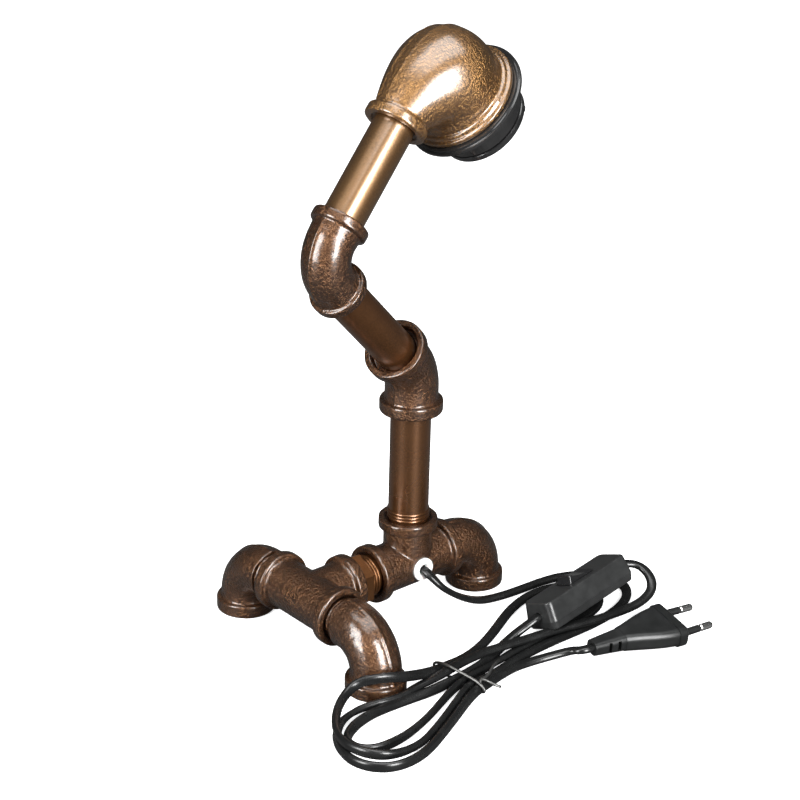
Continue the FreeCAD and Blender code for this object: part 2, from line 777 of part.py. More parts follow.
def grommet():
    """The white grommet: a domed head on the tee and a shank through its wall."""
    head = rounded_rod(GROMMET_D, -0.8, GROMMET_HEAD_H - 0.8, 0.6)
    shank = rod(GROMMET_SHANK_D, -GROMMET_LENGTH, 0)
    hole = rod(CORD_D + 2 * CORD_HOLE_CLEARANCE, -GROMMET_LENGTH - 1, GROMMET_HEAD_H + 1)
    flare = Part.makeCone(
        CORD_D / 2, CORD_D / 2 + 1.3, 2, V(0, 0, GROMMET_HEAD_H - 0.8 - 1.6)
    )
    return set_at(joined(head, shank).cut(joined(hole, flare)), grommet_place())


def inner_end():
    """Where the cord inside the tee meets the cord outside it."""
    return grommet_place().multVec(V(0, 0, -GROMMET_LENGTH))


def cord_anchor():
    """The clamped ring behind the grommet that takes the cord's pull."""
    top = -GROMMET_LENGTH - 0.1
    ring = hollow(ANCHOR_D, CORD_D + 0.04, top - ANCHOR_H, top)
    return set_at(ring, grommet_place())


def inner_cord_post():
    """The cord from the grommet to the top of the post."""
    at = post_tee_place().Base
    top = post_place().Base.z + POST_LENGTH - SWIVEL_GAP
    bow = 4.8
    return tube([
        inner_end(), V(1.5, at.y, at.z), V(bow, at.y, at.z + 10), V(2.2, at.y, at.z + 32),
        V(0.6, at.y, at.z + 54), V(0, at.y, top - 14), V(0, at.y, top),
    ], CORD_D)


def inner_cord_elbow():
    """The cord inside the 45 degree elbow."""
    route = [(0, 0, SWIVEL_GAP), (0, 0, ELBOW_45_REACH)]
    end = outlet(ELBOW_45_REACH, ELBOW_45_REACH - SWIVEL_GAP, ELBOW_45_ANGLE).Base
    return tube(carried(route + [tuple(end)], elbow_45_place()), CORD_D)


def inner_cord_arm():
    """The cord through the mid pipe, the 90 degree elbow and the upper pipe."""
    corner = MID_LENGTH + ELBOW_90_REACH
    reach = ELBOW_90_REACH + UPPER_LENGTH - SWIVEL_GAP
    route = [
        (0, 0, SWIVEL_GAP), (0, 0, 24), (0, 1.2, 50), (0, 0.4, corner - 14),
        (0, 7, corner - 3), (0, 16, corner), (0, 44, corner), (0, reach, corner),
    ]
    bowed = [point if index != 6 else (0, 44, corner - 0.8) for index, point in enumerate(route)]
    return tube(carried(bowed, mid_place()), CORD_D)




def inner_cord_head():
    """The cord's end in the head, before its two cores part."""
    route = [(0, 0, SWIVEL_GAP), (0, 0, 12), (0, 0.8, CORD_END_Z)]
    return tube(carried(route, head_place()), CORD_D)


def lead(side):
    """One insulated core from the cord's end to its terminal."""
    back = HEAD_MOUTH_REACH + core_front() - CORE_H - SCREW_HEAD_H - LEAD_D / 2 - 0.1
    route = [
        (side * 1.1, 0.8, CORD_END_Z + 0.05), (side * 2.2, 1.6, CORD_END_Z + 8),
        (side * 6, 8, HEAD_REACH - 5), (side * TERMINAL_R, back, HEAD_REACH - 3),
        (side * TERMINAL_R, back + 0.2, HEAD_REACH + 3),
    ]
    return tube(carried(route, head_place()), LEAD_D)


# ---------------------------------------------------------------- switch
def switch_place():
    """The switch's middle, as it lies on the cords."""
    lie = turn(Z_AXIS, SWITCH_YAW)
    lie = lie.multiply(turn(Y_AXIS, SWITCH_PITCH)).multiply(turn(X_AXIS, SWITCH_ROLL))
    return place(SWITCH_AT, lie)


def rounded_oblong(length, width, corner, height):
    """A closed outline in a level plane with rounded corners."""
    half_l = length / 2 - corner
    half_w = width / 2 - corner
    edges = []
    for quarter, (x, y) in enumerate(
        ((half_l, half_w), (-half_l, half_w), (-half_l, -half_w), (half_l, -half_w))
    ):
        start = 90 * quarter
        circle = Part.Circle(V(x, y, height), Z_AXIS, corner)
        arc = Part.Arc(circle, math.radians(start), math.radians(start + 90))
        edges.append(arc.toShape())
    outline = []
    for index, arc in enumerate(edges):
        following = edges[(index + 1) % 4]
        outline.append(arc)
        tail = arc.valueAt(arc.LastParameter)
        head = following.valueAt(following.FirstParameter)
        outline.append(Part.LineSegment(tail, head).toShape())
    return Part.Wire(outline)


def tapered_block(length, width, corner, low, high, draft_low, draft_high):
    """A rounded block between two heights, drawn in by a draft at each end."""
    sections = []
    for height, draft in ((low, draft_low), (high, draft_high)):
        sections.append(
            rounded_oblong(length - 2 * draft, width - 2 * draft, corner, height)
        )
    return Part.makeLoft(sections, True, True)


def split_height():
    """Height of the joint between the switch's two shells."""
    return -SWITCH_H / 2 + SWITCH_LOWER_H


def case_block(low, high, draft_low, draft_high, inset):
    """A piece of the switch case's form, drawn in by a wall."""
    return tapered_block(
        SWITCH_L - 2 * inset, SWITCH_W - 2 * inset, SWITCH_CORNER_R - inset * 0.6,
        low, high, draft_low, draft_high,
    )


def cord_holes():
    """The two cord holes, through both ends of the case."""
    hole = rod(CORD_D + 2 * CORD_HOLE_CLEARANCE, -SWITCH_L, SWITCH_L)
    return set_at(hole, place(ORIGIN, turn(Y_AXIS, 90)))


def case_screw_places():
    """The two case screws, at opposite corners."""
    return [V(CASE_SCREW_X, CASE_SCREW_Y, 0), V(-CASE_SCREW_X, -CASE_SCREW_Y, 0)]


def pivot_height():
    """Height of the rocker's pivot above the switch's middle."""
    return SWITCH_H / 2 - ROCKER_PIVOT_DEPTH


def across(shape, at):
    """A bar on Z laid along Y through a point."""
    return set_at(shape, place(at, turn(X_AXIS, 90)))


def switch_upper_shell():
    """The upper shell, with the rocker's window and its pivot holes."""
    low = split_height() + SHELL_SEAM
    top = SWITCH_H / 2
    shell = case_block(low, top, 0, SWITCH_DRAFT, 0)
    rim = [item for item in shell.Edges if item.BoundBox.ZMin > top - 0.01]
    shell = shell.makeFillet(1.1, rim)
    room = case_block(low - 1, top - SWITCH_WALL, 0, SWITCH_DRAFT, SWITCH_WALL)
    window = block(ROCKER_WINDOW_L, ROCKER_WINDOW_W, 6, V(0, 0, top))
    reach = SWITCH_W / 2 - 3
    pivot = across(rod(ROCKER_PIN_D + 2 * FIT, -reach, reach), V(0, 0, pivot_height()))
    cheek_h = ROCKER_PIVOT_DEPTH + 1.6
    cheeks = block(6, ROCKER_WINDOW_W + 4.4, cheek_h, V(0, 0, top - 1 - cheek_h / 2))
    gap = block(8, ROCKER_WINDOW_W, 20, V(0, 0, pivot_height()))
    shell = joined(shell.cut(room), cheeks.cut(gap))
    for at in case_screw_places():
        hole = rod(SCREW_D + 2 * FIT, low - 1, top - 4)
        boss = rod(SCREW_D + 3, low, top - SWITCH_WALL + 0.2).cut(hole)
        boss.translate(at)
        shell = joined(shell, boss)
    return shell.cut(joined(window, pivot)).cut(cord_holes())


def switch_lower_shell():
    """The lower shell, with the case screws' holes and the contacts' floor."""
    low = -SWITCH_H / 2
    high = split_height()
    shell = case_block(low, high, 0.8, 0, 0)
    rim = [item for item in shell.Edges if item.BoundBox.ZMax < low + 0.01]
    shell = shell.makeFillet(0.9, rim)
    room = case_block(low + SWITCH_WALL, high + 1, 0.8, 0, SWITCH_WALL)
    shell = shell.cut(room)
    for at in case_screw_places():
        boss = rod(SCREW_D + 3, low + 1, high)
        boss.translate(at)
        shank_hole = rod(SCREW_D + 2 * FIT, low - 1, high + 1)
        head_hole = rod(SCREW_HEAD_D + 0.4, low - 1, low + SCREW_HEAD_H)
        hole = joined(shank_hole, head_hole)
        hole.translate(at)
        shell = joined(shell, boss).cut(hole)
    return shell.cut(cord_holes())


def switch_case_screws():
    """The two screws that hold the shells together, from below."""
    low = -SWITCH_H / 2 + SCREW_HEAD_H
    return Part.makeCompound(
        [screw(V(at.x, at.y, low), SWITCH_H - 6.4) for at in case_screw_places()]
    )


def tilted(shape, degrees):
    """A shape turned about the rocker's pivot."""
    copy = shape.copy()
    copy.rotate(V(0, 0, pivot_height()), Y_AXIS, degrees)
    return copy


def switch_rocker():
    """The rocker, dished on top, with its pins and its nose, tilted to rest."""
    top = SWITCH_H / 2 + ROCKER_PROUD
    low = pivot_height() - ROCKER_DEPTH
    half = ROCKER_L / 2
    left = V(-half, 0, top)
    right = V(half, 0, top)
    dish = Part.Arc(left, V(0, 0, top - ROCKER_DISH), right).toShape()
    sides = [
        dish,
        Part.LineSegment(right, V(half, 0, pivot_height())).toShape(),
        Part.LineSegment(V(half, 0, pivot_height()), V(3, 0, low)).toShape(),
        Part.LineSegment(V(3, 0, low), V(-3, 0, low)).toShape(),
        Part.LineSegment(V(-3, 0, low), V(-half, 0, pivot_height())).toShape(),
        Part.LineSegment(V(-half, 0, pivot_height()), left).toShape(),
    ]
    body = Part.Face(Part.Wire(sides)).extrude(V(0, ROCKER_W, 0))
    body.translate(V(0, -ROCKER_W / 2, 0))
    rims = [
        item for item in body.Edges
        if item.BoundBox.ZMin > pivot_height() + 0.5 or item.BoundBox.ZLength > 4
    ]
    body = body.makeFillet(0.8, rims)
    reach = ROCKER_WINDOW_W / 2 + 2.0
    pins = across(rod(ROCKER_PIN_D, -reach, reach), V(0, 0, pivot_height()))
    nose = across(rod(ROCKER_NOSE_D, -1.6, 1.6), V(0, 0, low - 0.4))
    return tilted(joined(body, pins, nose), ROCKER_TILT)


def fulcrum_height():
    """Height of the see-saw contact's fulcrum, under the rocker's nose."""
    nose = ROCKER_DEPTH + 0.4 + ROCKER_NOSE_D / 2
    return pivot_height() - nose - SEESAW_GAP - SEESAW_T / 2 - SEESAW_RISE


def switch_floor():
    """Height of the lower shell's floor."""
    return -SWITCH_H / 2 + SWITCH_WALL


def switch_seesaw():
    """The rocking contact under the rocker's nose, tilted to rest."""
    height = fulcrum_height()
    bar = block(SEESAW_L, SEESAW_W, SEESAW_T, V(0, 0, height + SEESAW_RISE))
    hub = across(rod(SEESAW_HUB_D, -SEESAW_W / 2, SEESAW_W / 2), V(0, 0, height))
    shape = joined(bar, hub)
    shape.rotate(V(0, 0, height), Y_AXIS, -SEESAW_TILT)
    return shape


def switch_fulcrum():
    """The brass cradle that the see-saw rocks in, on the lower shell's floor."""
    floor = switch_floor()
    height = fulcrum_height()
    width = SEESAW_W + 3
    base = block(2.6, width, height - floor, V(0, 0, (floor + height) / 2))
    cheeks = block(2.6, width, 0.6, V(0, 0, height + 0.3))
    room = block(4, SEESAW_W + 0.3, 2, V(0, 0, height + 1))
    hub = rod(SEESAW_HUB_D + 2 * FIT, -SEESAW_W / 2 - 0.15, SEESAW_W / 2 + 0.15)
    slope = block(4, SEESAW_W + 0.3, 0.9, V(0, 0, height - 0.3))
    return joined(base, cheeks).cut(room).cut(slope).cut(across(hub, V(0, 0, height)))


def switch_line_terminals():
    """The two live terminals: one under the see-saw's end, one on the cradle."""
    floor = switch_floor()
    side_y = SEESAW_W / 2 + TERMINAL_W / 2
    closed = fulcrum_height() - SEESAW_L / 2 * math.sin(math.radians(SEESAW_TILT)) - 0.2
    inner = TERMINAL_X - TERMINAL_L / 2
    blocks = []
    for side in (-1, 1):
        at = V(side * TERMINAL_X, side_y, floor + TERMINAL_H / 2)
        blocks.append(block(TERMINAL_L, TERMINAL_W, TERMINAL_H, at))
    tongue_at = V(inner - TONGUE_L / 2 + 0.3, 1.6, (floor + closed) / 2)
    tongue = block(TONGUE_L, TONGUE_W, closed - floor, tongue_at)
    strip_l = inner - 1.3
    strip = block(strip_l, 1.4, 0.8, V(-inner + strip_l / 2 - 0.05, SEESAW_W / 2 + 0.7, floor + 0.4))
    solids = [blocks[0].fuse(strip), blocks[1].fuse(tongue)]
    return Part.makeCompound([item.removeSplitter().cut(screw_holes()) for item in solids])


def terminal_screw_places():
    """The switch's terminal screws, from above."""
    return [V(side * (TERMINAL_X + 2), SEESAW_W / 2 + TERMINAL_W / 2, 0) for side in (-1, 1)]


def screw_holes():
    """The terminal screws' threads."""
    floor = switch_floor()
    holes = []
    for at in terminal_screw_places():
        hole = rod(SCREW_D + 2 * FIT, floor + 0.6, floor + 20)
        hole.translate(at)
        holes.append(hole)
    return Part.makeCompound(holes)


def switch_terminal_screws():
    """The screws that clamp the live cores."""
    floor = switch_floor()
    solids = []
    for at in terminal_screw_places():
        upright = screw(ORIGIN, TERMINAL_H - 1.2)
        upright.rotate(ORIGIN, X_AXIS, 180)
        upright.translate(V(at.x, at.y, floor + TERMINAL_H))
        solids.append(upright)
    return Part.makeCompound(solids)


def switch_neutral_link():
    """The bar that carries the neutral core straight through."""
    floor = switch_floor()
    return block(NEUTRAL_LINK_L, 2.4, 2.6, V(0, -6.4, floor + 1.3))


# ---------------------------------------------------------------- plug
def plug_place():
    """The middle of the plug's face, with X along the pins."""
    return place(PLUG_AT, turn(Z_AXIS, PLUG_YAW).multiply(turn(X_AXIS, PLUG_ROLL)))


def plug_section(back, width, thickness):
    """A rounded outline across the plug at a distance behind its face."""
    outline = rounded_oblong(thickness, width, min(width, thickness) * 0.34, back)
    outline.rotate(ORIGIN, Y_AXIS, -90)
    return outline


def pin_places():
    """Each pin's place, with Z out of the plug's face."""
    places = []
    for side in (-1, 1):
        lie = turn(Z_AXIS, -side * PIN_TOE).multiply(turn(Y_AXIS, 90))
        places.append(place(V(0, side * PIN_SPACING / 2, 0), lie))
    return places


def plug_body():
    """The moulded plug: a wide face, a waist and a slotted boot for the cord."""
    front = Part.makeLoft([
        plug_section(0, PLUG_W - 1.6, PLUG_T - 1.6), plug_section(1, PLUG_W, PLUG_T),
        plug_section(PLUG_FRONT_L, PLUG_W, PLUG_T),
    ], True, True)
    waist = Part.makeLoft([
        plug_section(PLUG_FRONT_L, PLUG_W - 1.4, PLUG_T - 1),
        plug_section(PLUG_BODY_L * 0.45, PLUG_W - 5, PLUG_T - 1.2),
        plug_section(PLUG_BODY_L * 0.75, PLUG_NECK_W + 5, PLUG_NECK_T + 0.4),
        plug_section(PLUG_BODY_L, PLUG_NECK_W, PLUG_NECK_T),
    ], True)
    boot = Part.makeLoft([
        plug_section(PLUG_BODY_L - 0.5, PLUG_NECK_W - 0.6, PLUG_NECK_T - 0.4),
        plug_section(PLUG_BODY_L + BOOT_L, BOOT_END_W, BOOT_END_T),
    ], True, True)
    solid = joined(front, waist, boot)
    for index in range(2):
        at = -(PLUG_BODY_L + 4.0 + BOOT_SLOT_PITCH * index)
        for side in (-1, 1):
            reach = side * (CORD_D / 2 + 0.7 + PLUG_W / 2)
            solid = solid.cut(block(BOOT_SLOT_W, PLUG_W, PLUG_NECK_T * 0.62, V(at, reach, 0)))
    for where in pin_places():
        solid = solid.cut(set_at(rod(PIN_CORE_D + 0.6, -PIN_ROOT_L - 1, 0.01), where))
    hole = rod(CORD_D + 2 * FIT, -PLUG_BODY_L - BOOT_L - 1, -PLUG_BODY_L - BOOT_L + 10)
    return solid.cut(set_at(hole, place(ORIGIN, turn(Y_AXIS, 90))))


def plug_pins():
    """Two round pins with domed tips and thinner roots inside their sleeves."""
    solids = []
    for where in pin_places():
        tip = rounded_rod(PIN_D, PIN_SLEEVE_L, PIN_LENGTH, PIN_D / 2 - 0.15)
        core = rod(PIN_CORE_D, -PIN_ROOT_L, PIN_SLEEVE_L + 1)
        solids.append(set_at(joined(tip, core), where))
    return Part.makeCompound(solids)


def plug_pin_sleeves():
    """The insulating sleeves on the pins' roots."""
    solids = []
    for where in pin_places():
        sleeve = joined(
            hollow(PIN_D, PIN_CORE_D, 0, PIN_SLEEVE_L),
            hollow(PIN_CORE_D + 0.6, PIN_CORE_D, -PIN_ROOT_L, 0),
        )
        solids.append(set_at(sleeve, where))
    return Part.makeCompound(solids)


# ---------------------------------------------------------------- free cord and hank
def route(*parts):
    """One list of points from single points and lists."""
    points = []
    for part in parts:
        points += [V(*item) if isinstance(item, tuple) else item for item in part]
    return points


def switch_end(side, reach):
    """A point on the switch's axis at one end, a distance out of the case."""
    return switch_place().multVec(V(side * (SWITCH_L / 2 + reach), 0, 0))


def plug_end(reach):
    """A point on the plug's axis, a distance behind the boot."""
    return plug_place().multVec(V(-PLUG_BODY_L - BOOT_L - reach, 0, 0))


def lamp_cord():
    """From inside the grommet, round behind the switch, back under it to the hank."""
    return tube(route([inner_end()], LAMP_CORD_TABLE), CORD_D, "lamp_cord")


def lamp_cord_loop():
    """The loop from the hank round under the switch and back."""
    return tube(route(RETURN_LOOP), CORD_D, "lamp_cord_loop")


def lamp_cord_end():
    """From the switch's near end to the hank."""
    return tube(
        route([switch_end(-1, -5), switch_end(-1, 7)], SWITCH_CORD_TABLE),
        CORD_D, "lamp_cord_end",
    )


def plug_cord_start():
    """From the switch's far end, round and back to the hank."""
    return tube(
        route([switch_end(1, -6), switch_end(1, 5)], PLUG_CORD_TABLE),
        CORD_D, "plug_cord_start",
    )


def plug_cord_end():
    """From the plug's boot to the hank."""
    return tube(
        route([plug_end(-6), plug_end(3)], PLUG_LEAD_TABLE), CORD_D, "plug_cord_end"
    )


def closed_outline(points, height):
    """A closed level outline with its corners rounded as far as its sides allow."""
    corners = [V(x, y, height) for x, y in points]
    edges = []
    stops = []
    for index, corner in enumerate(corners):
        arrive = corner.sub(corners[index - 1])
        leave = corners[(index + 1) % len(corners)].sub(corner)
        half = arrive.getAngle(leave) / 2
        trim = RUN_SHARE * min(arrive.Length, leave.Length)
        radius = trim / math.tan(half)
        arrive.normalize()
        leave.normalize()
        inward = leave.sub(arrive)
        inward.normalize()
        middle = corner.add(inward * (radius / math.cos(half) - radius))
        stops.append((corner.sub(arrive * trim), middle, corner.add(leave * trim)))
    for index, (enter, middle, leave) in enumerate(stops):
        edges.append(Part.Arc(enter, middle, leave).toShape())
        following = stops[(index + 1) % len(stops)][0]
        edges.append(Part.LineSegment(leave, following).toShape())
    return Part.Wire(edges)


def cord_hank():
    """The outer form of the tied hank: a flat loop that narrows to the tie."""
    height = V(0, 0, HANK_TOP - HANK_BOTTOM)
    whole = Part.Face(closed_outline(HANK_OUTLINE, HANK_BOTTOM)).extrude(height)
    opening = Part.Face(closed_outline(HANK_OPENING, HANK_BOTTOM)).extrude(height)
    return whole.cut(opening)


def hank_tie():
    """The wire tie round the hank's neck, with its twisted ends."""
    grow = TIE_CLEARANCE + TIE_WIRE_D / 2
    low_x, high_x = HANK_NECK_X
    width = high_x - low_x + 2 * grow
    height = HANK_TOP - HANK_BOTTOM + 2 * grow
    loop = rounded_oblong(width, height, 2.2, 0)
    start = loop.Edges[0].valueAt(loop.Edges[0].FirstParameter)
    ring = Part.Wire(Part.makeCircle(TIE_WIRE_D / 2, start, Y_AXIS))
    solid = loop.makePipeShell([ring], True, True)
    middle = V((low_x + high_x) / 2, HANK_TIE_Y, (HANK_TOP + HANK_BOTTOM) / 2)
    solid = set_at(solid, place(middle, turn(X_AXIS, 90)))
    foot = V(low_x - grow, HANK_TIE_Y, middle.z)
    ends = []
    for tip in (V(-6, -4, 5), V(-7, 6, 0.4)):
        ends.append(Part.makeCylinder(TIE_WIRE_D / 2, tip.Length, foot, tip))
    return joined(solid, *ends)


# ---------------------------------------------------------------- every sub-part
def in_mouth(shape):
    """A shape from the mouth's frame."""
    return set_at(shape, mouth_place())


def in_switch(shape):
    """A shape from the switch's frame."""
    return set_at(shape, switch_place())


def in_plug(shape):
    """A shape from the plug's frame."""
    return set_at(shape, plug_place())


def parts():
    """Every sub-part by name, in the lamp's frame."""
    feet = {}
    for name, where in foot_places().items():
        rings = 0 if name == "front" else FOOT_RINGS
        feet[f"foot_elbow_{name}"] = set_at(foot_elbow(rings), where)
    return {
        "cross_tee": set_at(tee(), cross_tee_place()),
        "hex_nipple": hex_nipple(),
        "post_tee": post_tee(),
        **feet,
        "post_pipe": set_at(pipe(POST_LENGTH, POST_ENGAGE, POST_ENGAGE, POST_RINGS), post_place()),
        "elbow_45": set_at(elbow_45(), elbow_45_place()),
        "mid_pipe": set_at(pipe(MID_LENGTH, MID_ENGAGE, MID_ENGAGE, 0), mid_place()),
        "elbow_90": set_at(elbow_90(), elbow_90_place()),
        "upper_pipe": set_at(
            pipe(UPPER_LENGTH, UPPER_ENGAGE, HEAD_ENGAGE, UPPER_RINGS), upper_place()
        ),
        "head_elbow": set_at(head_elbow(), head_place()),
        "lampholder_body": in_mouth(lampholder_body()),
        "shade_ring": in_mouth(shade_ring()),
        "lampholder_core": in_mouth(lampholder_core()),
        "core_screws": in_mouth(core_screws()),
        "terminal_screws": in_mouth(terminal_screws()),
        "screw_shell": in_mouth(screw_shell()),
        "centre_contact": in_mouth(centre_contact()),
        "side_contact": in_mouth(side_contact()),
        "lead_live": lead(1),
        "lead_neutral": lead(-1),
        "cord_grommet": grommet(),
        "cord_anchor": cord_anchor(),
        "inner_cord_post": inner_cord_post(),
        "inner_cord_elbow": inner_cord_elbow(),
        "inner_cord_arm": inner_cord_arm(),
        "inner_cord_head": inner_cord_head(),
        "lamp_cord": lamp_cord(),
        "lamp_cord_loop": lamp_cord_loop(),
        "lamp_cord_end": lamp_cord_end(),
        "plug_cord_start": plug_cord_start(),
        "plug_cord_end": plug_cord_end(),
        "cord_hank": cord_hank(),
        "hank_tie": hank_tie(),
        "switch_upper_shell": in_switch(switch_upper_shell()),
        "switch_lower_shell": in_switch(switch_lower_shell()),
        "switch_case_screws": in_switch(switch_case_screws()),
        "switch_rocker": in_switch(switch_rocker()),
        "switch_seesaw": in_switch(switch_seesaw()),
        "switch_fulcrum": in_switch(switch_fulcrum()),
        "switch_line_terminals": in_switch(switch_line_terminals()),
        "switch_terminal_screws": in_switch(switch_terminal_screws()),
        "switch_neutral_link": in_switch(switch_neutral_link()),
        "plug_body": in_plug(plug_body()),
        "plug_pins": in_plug(plug_pins()),
        "plug_pin_sleeves": in_plug(plug_pin_sleeves()),
    }


for node, shape in parts().items():
    shape.exportStep(f"parts/{node}.step")
    if not shape.isValid() or any(not solid.isClosed() for solid in shape.Solids):
        print("look at", node)
    if not shape.Solids:
        print("no solid in", node)
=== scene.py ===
import json
import math

import bmesh
import bpy
from bpy.props import FloatProperty, FloatVectorProperty, PointerProperty
from mathutils import Matrix, Vector


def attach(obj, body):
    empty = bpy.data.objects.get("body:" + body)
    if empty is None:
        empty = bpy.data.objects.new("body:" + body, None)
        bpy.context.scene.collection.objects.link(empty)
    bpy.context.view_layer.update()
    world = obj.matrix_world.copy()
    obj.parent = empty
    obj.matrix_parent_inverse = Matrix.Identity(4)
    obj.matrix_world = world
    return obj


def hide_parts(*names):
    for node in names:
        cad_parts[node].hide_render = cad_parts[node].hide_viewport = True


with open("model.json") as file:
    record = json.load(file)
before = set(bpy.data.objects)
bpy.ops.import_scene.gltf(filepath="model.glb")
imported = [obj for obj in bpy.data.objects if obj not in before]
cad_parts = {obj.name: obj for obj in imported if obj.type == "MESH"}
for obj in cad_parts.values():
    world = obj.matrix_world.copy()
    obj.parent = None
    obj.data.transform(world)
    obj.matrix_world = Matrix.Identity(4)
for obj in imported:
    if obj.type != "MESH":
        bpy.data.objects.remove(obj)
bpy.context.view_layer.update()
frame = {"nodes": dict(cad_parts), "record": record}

bl_info = {
    "name": "Pipe Table Lamp",
    "version": (1, 0, 0),
    "blender": (4, 5, 0),
    "location": "View3D > Sidebar > Pipe Lamp",
    "description": "Finishes a table lamp of screwed pipe with its cord, switch and plug",
    "category": "Object",
}

MM = 0.001
RECORD = frame["record"]
BODY_OF = {
    node: body for body, nodes in RECORD["behaviour"]["bodies"].items() for node in nodes
}
SLOT_OF = {part["node"]: part["material_slot"] for part in RECORD["subparts"]}
MATERIAL_NAMES = {}

# the camera: its place in metres, and the directions to its right, up and back
CAMERA_AT = (-0.81824, 0.71526, 0.61627)
CAMERA_RIGHT = (-0.65066, -0.75901, 0.02329)
CAMERA_UP = (0.32723, -0.25257, 0.91056)
CAMERA_BACK = (-0.68525, 0.60009, 0.41271)

# the soft lights: name, place and size in metres, and power in watts
SOFTBOXES = (
    ("left softbox", (-0.04, 1.35, 0.66), (0.55, 1.2), 34),
    ("right softbox", (-1.35, 0.16, 0.62), (0.5, 1.2), 46),
    ("top softbox", (-0.1, 0.0, 1.7), (1.3, 1.3), 24),
)
LIGHT_AIM = (0, 0, 0.15)

# the floor's own glow to the camera, and how dark the lamp sees the floor and the sky
FLOOR_GLOW = 0.75
FLOOR_IN_MIRROR = (0.07, 0.07, 0.07, 1)
SKY_IN_MIRROR = 0.06

# how bright worn lacquer, fresh lacquer and its flakes are beside its colour, how much of
# it is flake, and the clear coat's roughness as a share of the lacquer's
WORN_GAIN = 0.72
FRESH_GAIN = 1.18
FLAKE_GAIN = 1.55
FLAKE_SHARE = 0.45
COAT_SHARE = 0.7

# the castings, with the size of the grid that their skin is drawn on, how many times
# that skin is smoothed, and how lumpy the sand left it, in millimetres
CASTINGS = {
    "cross_tee": (0.5, 3, 0.06),
    "post_tee": (0.5, 4, 0.08),
    "foot_elbow_left": (0.5, 3, 0.10),
    "foot_elbow_right": (0.5, 3, 0.10),
    "foot_elbow_front": (0.5, 3, 0.10),
    "elbow_45": (0.5, 3, 0.08),
    "elbow_90": (0.5, 3, 0.08),
    "head_elbow": (0.6, 2, 0.03),
}

# casting seams: a point on the seam's plane and the directions across it, out of the low
# end and out of the far end, then how far from the point the seam begins at the low end
# and stops at the far end, in millimetres
SEAMS = {
    "elbow_90": (
        (-12.5, 49.7, 199.2), (-0.981, -0.195, -0.014), (-0.147, 0.692, 0.707),
        (0.128, -0.696, 0.707), 7.5, 19,
    ),
    "head_elbow": (
        (-6.2, 12.8, 273.5), (-0.992, -0.091, 0.09), (0.128, -0.696, 0.707),
        (0.002, -0.713, -0.702), 6, 21,
    ),
}

# half the ridge's width, its height, how far from the seam its flanks are deepest, how
# deep they are, and the lengths over which a seam begins and fades out, in millimetres
SEAM_RIDGE_HALF_W = 0.8
SEAM_RIDGE_H = 0.12
SEAM_FLANK_W = 6.0
SEAM_FLANK_DEPTH = 0.3
SEAM_FADE_IN = 1.5
SEAM_FADE_OUT = 4.0

# centre lines of the flat cord, in millimetres, with its turn about its own length in
# degrees: 0 lies flat, 90 stands on edge
LAMP_CORD_OUT = [
    (-6.8, -9, 28, 0), (-14, -9, 28, 0), (-19, -10, 25.6, 0), (-22.6, -14, 19.8, 0),
    (-22.4, -20, 14.6, 0), (-21.6, -27.5, 9, 0), (-21.8, -35.5, 4.4, 0),
    (-23.4, -43, 2, 0), (-25.2, -50.5, 1.75, 0), (-26.6, -60, 1.75, 0),
    (-27.3, -71, 1.75, 0), (-27.8, -83, 1.75, 0), (-30.3, -95, 1.91, 10),
    (-36.8, -106.4, 2.08, 20), (-46.8, -114.4, 2.24, 30), (-58.3, -115.9, 2.24, 30),
    (-67.3, -110.1, 2.08, 20), (-73.3, -100.1, 1.91, 10), (-76.8, -87.1, 1.75, 0),
    (-78.5, -72.1, 1.75, 0), (-78.4, -57.1, 1.75, 0), (-78.2, -42.1, 1.75, 0),
    (-78.8, -27.1, 1.75, 0), (-80.4, -13, 1.91, 10), (-82.9, 1, 2.24, 30),
    (-84.6, 13, 2.61, 60), (-85.2, 22, 2.72, 80),
]
LAMP_CORD_TOP_LOOP = [
    (-87.7, 28.4, 2.75, 85), (-93.4, 39.2, 2.75, 85), (-99.9, 52, 2.75, 80),
    (-105.8, 64.2, 3, 75), (-110.7, 75.6, 3.6, 65), (-113.4, 86.2, 5.2, 60),
    (-114.0, 94.8, 6.6, 70), (-112.0, 102, 7.6, 80), (-107.4, 106.6, 8.1, 85),
    (-101.2, 109.2, 8.2, 85), (-94.2, 110, 8.2, 80), (-86.8, 108.4, 8.2, 75),
    (-79.8, 104.6, 8.2, 70), (-72.6, 98.6, 8.2, 70), (-66.6, 92, 8.6, 70),
    (-62.6, 85.2, 9.8, 75), (-61.2, 79, 12, 80), (-62.6, 74.4, 14, 85),
    (-65.6, 70.4, 15.2, 90), (-68.8, 63.9, 15.4, 90), (-71, 56, 13.9, 85),
    (-69.2, 43.5, 9.4, 60), (-66.2, 31.6, 5.4, 30), (-63.4, 22.5, 2.8, 10),
]
LAMP_CORD_BACK = [
    (-63.0, 13, 2.3, 0), (-62.3, 3.6, 1.9, 0), (-59.6, -7.4, 1.75, 0),
    (-54.4, -20.1, 1.75, 0), (-47.8, -33.1, 1.75, 0), (-41, -46.1, 1.75, 0),
    (-36.4, -59.1, 1.75, 0), (-34.6, -72.1, 1.75, 0), (-37, -85.1, 1.91, 10),
    (-44.6, -95.1, 2.08, 20), (-55.6, -97.6, 2.08, 20), (-65, -91.1, 1.91, 10),
    (-69.6, -79.1, 1.75, 0), (-70.9, -64.1, 1.75, 0), (-71.4, -48.1, 1.75, 0),
    (-72.2, -31.1, 1.75, 0), (-74.4, -14.2, 2.08, 20), (-77.4, 1, 2.56, 55),
    (-79.0, 13, 2.75, 85), (-80.2, 22.6, 2.75, 90),
]
